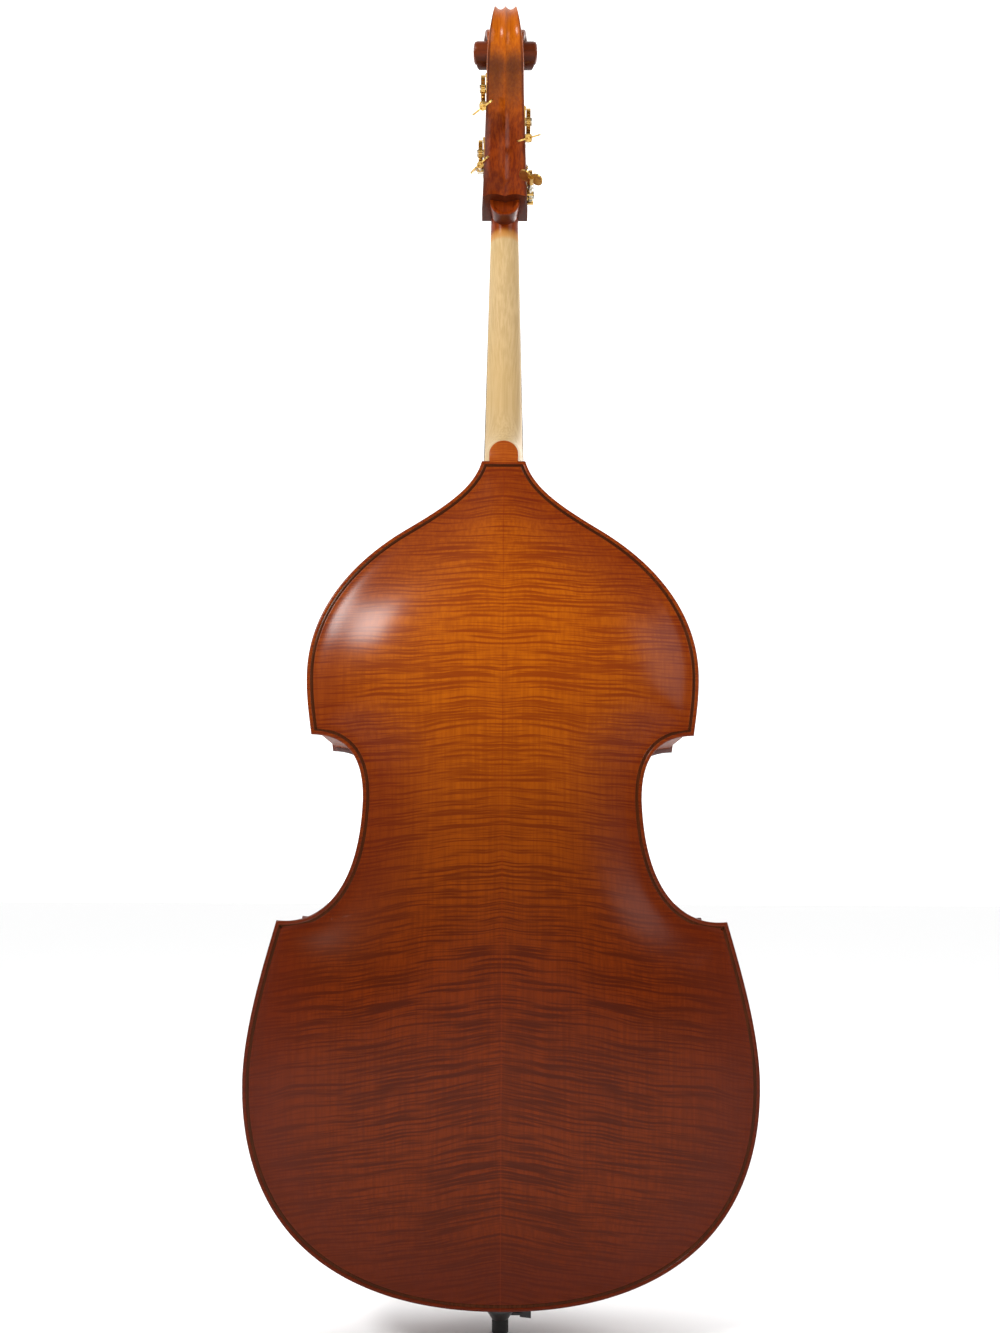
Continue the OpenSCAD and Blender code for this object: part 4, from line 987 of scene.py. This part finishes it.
rubber = streaked(
    "rubber", streaks, ((0.018, 0.018, 0.018, 1), (0.035, 0.034, 0.033, 1)),
    roughness=0.75, fine=90.0, long=90.0,
)
black_knob = streaked(
    "black_knob", streaks, ((0.02, 0.02, 0.02, 1), (0.04, 0.04, 0.04, 1)),
    roughness=0.4, coat=0.2, fine=80.0, long=80.0,
)

for side, word in ((1, "treble"), (-1, "bass")):
    back = half_plate("back_" + word, side, False, BACK_ARCH)
    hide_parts("back_%s_half" % word)
    cover(back, back_maple)
    top = half_plate("top_" + word, side, True, TOP_ARCH)
    cut(top, f_hole_cutter(side))
    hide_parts("top_%s_half" % word)
    cover(top, top_spruce)
    for run, part in zip(half_outline(GRID), ("lower", "waist", "upper")):
        strip = rib("%s_%s" % (part, word), run, side)
        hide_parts("%s_rib_%s" % (part, word))
        cover(strip, rib_maple)

heel_cover = button()
cover(heel_cover, rib_maple)
for front, word in ((False, "back"), (True, "top")):
    strip = purfling("%s_inlay" % word, front)
    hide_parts("%s_purfling" % word)
    cover(strip, inlay)

cover(neck(), neck_finish(streaks))

# The CAD nodes that stay, by finish
FINISHES = [
    (inside_wood, ["front_linings", "back_linings", "neck_block", "end_block"]),
    (inside_wood, ["corner_blocks", "bass_bar", "soundpost"]),
    (ebony, ["fingerboard", "nut", "saddle", "tailpiece", "endpin_collar"]),
    (bridge_maple, ["bridge"]),
    (steel, ["tail_wire", "endpin_rod"]),
    (rubber, ["rubber_tip"]),
    (black_knob, ["endpin_screw"]),
    (brass, ["plate_screws"]),
]
for finish, kinds in ((wound_steel, ("string", "winding")), (brass, ("plate", "gear", "key")),
                      (nickel, ("post", "worm"))):
    FINISHES.append((finish, ["%s_%s" % (kind, name) for kind in kinds for name in MACHINES]))
for finish, names in FINISHES:
    for name in names:
        cover(nodes[name], finish)

# ---- floor, light and camera ----


def make_floor():
    mesh = bpy.data.meshes.new("floor")
    size = 30
    corners = [(-size, -size, 0), (size, -size, 0), (size, size, 0), (-size, size, 0)]
    mesh.from_pydata(corners, [], [(0, 1, 2, 3)])
    piece = place_object("floor", mesh)
    material, _, shader = new_material("pale_floor")
    shader.inputs["Base Color"].default_value = (0.93, 0.93, 0.93, 1)
    gloss(shader, 0.9)
    piece.data.materials.append(material)


def make_world():
    """A white sweep behind the instrument, and a dimmer room in front of its back."""
    world = bpy.data.worlds.new("studio")
    bpy.context.scene.world = world
    world.use_nodes = True
    n = Nodes(world.node_tree)
    back = world.node_tree.nodes["Background"]
    split = n.add("ShaderNodeSeparateXYZ")
    n.link(n.add("ShaderNodeTexCoord").outputs["Generated"], split.inputs[0])
    room_side = n.ramp(split.outputs["Y"], -0.25, 0.45)
    white, dim = (1.0, 1.0, 1.0, 1), (0.17, 0.17, 0.17, 1)
    n.link(n.mix(room_side, white, dim), back.inputs["Color"])
    back.inputs["Strength"].default_value = 1.6


def soft_light(name, place, target, size, power):
    """A rectangular soft box that looks at its target."""
    light = bpy.data.lights.new(name, "AREA")
    light.shape = "RECTANGLE"
    light.size, light.size_y = size
    light.energy = power
    lamp = place_object(name, light)
    lamp.location = place
    lamp.rotation_euler = (Vector(target) - Vector(place)).to_track_quat("-Z", "Y").to_euler()


def make_camera():
    """Behind the instrument, about a third of the way up it, looking a little upwards."""
    data = bpy.data.cameras.new("camera")
    data.sensor_fit = "VERTICAL"
    data.sensor_height = 24
    data.lens = 20.743
    data.shift_x = -0.0018
    data.shift_y = 0.0782
    camera = place_object("camera", data)
    pitch, roll = radians(5.5), radians(0.24)
    look = Vector((0, -cos(pitch), sin(pitch)))
    camera.location = (0.0, 1.5986, 0.5977)
    turn = look.to_track_quat("-Z", "Y")
    camera.rotation_mode = "QUATERNION"
    camera.rotation_quaternion = Quaternion(look, -roll) @ turn
    bpy.context.scene.camera = camera


make_floor()
make_world()
soft_light("key_light", place=(1.9, 2.6, 2.9), target=(0, 0, 1.15), size=(0.75, 0.75), power=112)
soft_light("fill_light", place=(-2.6, 2.4, 2.2), target=(0, 0, 1.1), size=(1.6, 1.8), power=40)
soft_light("front_light", place=(-1.4, -3.0, 2.6), target=(0, 0, 0.9), size=(2.0, 1.6), power=40)
make_camera()
bpy.context.scene.view_settings.view_transform = "Standard"
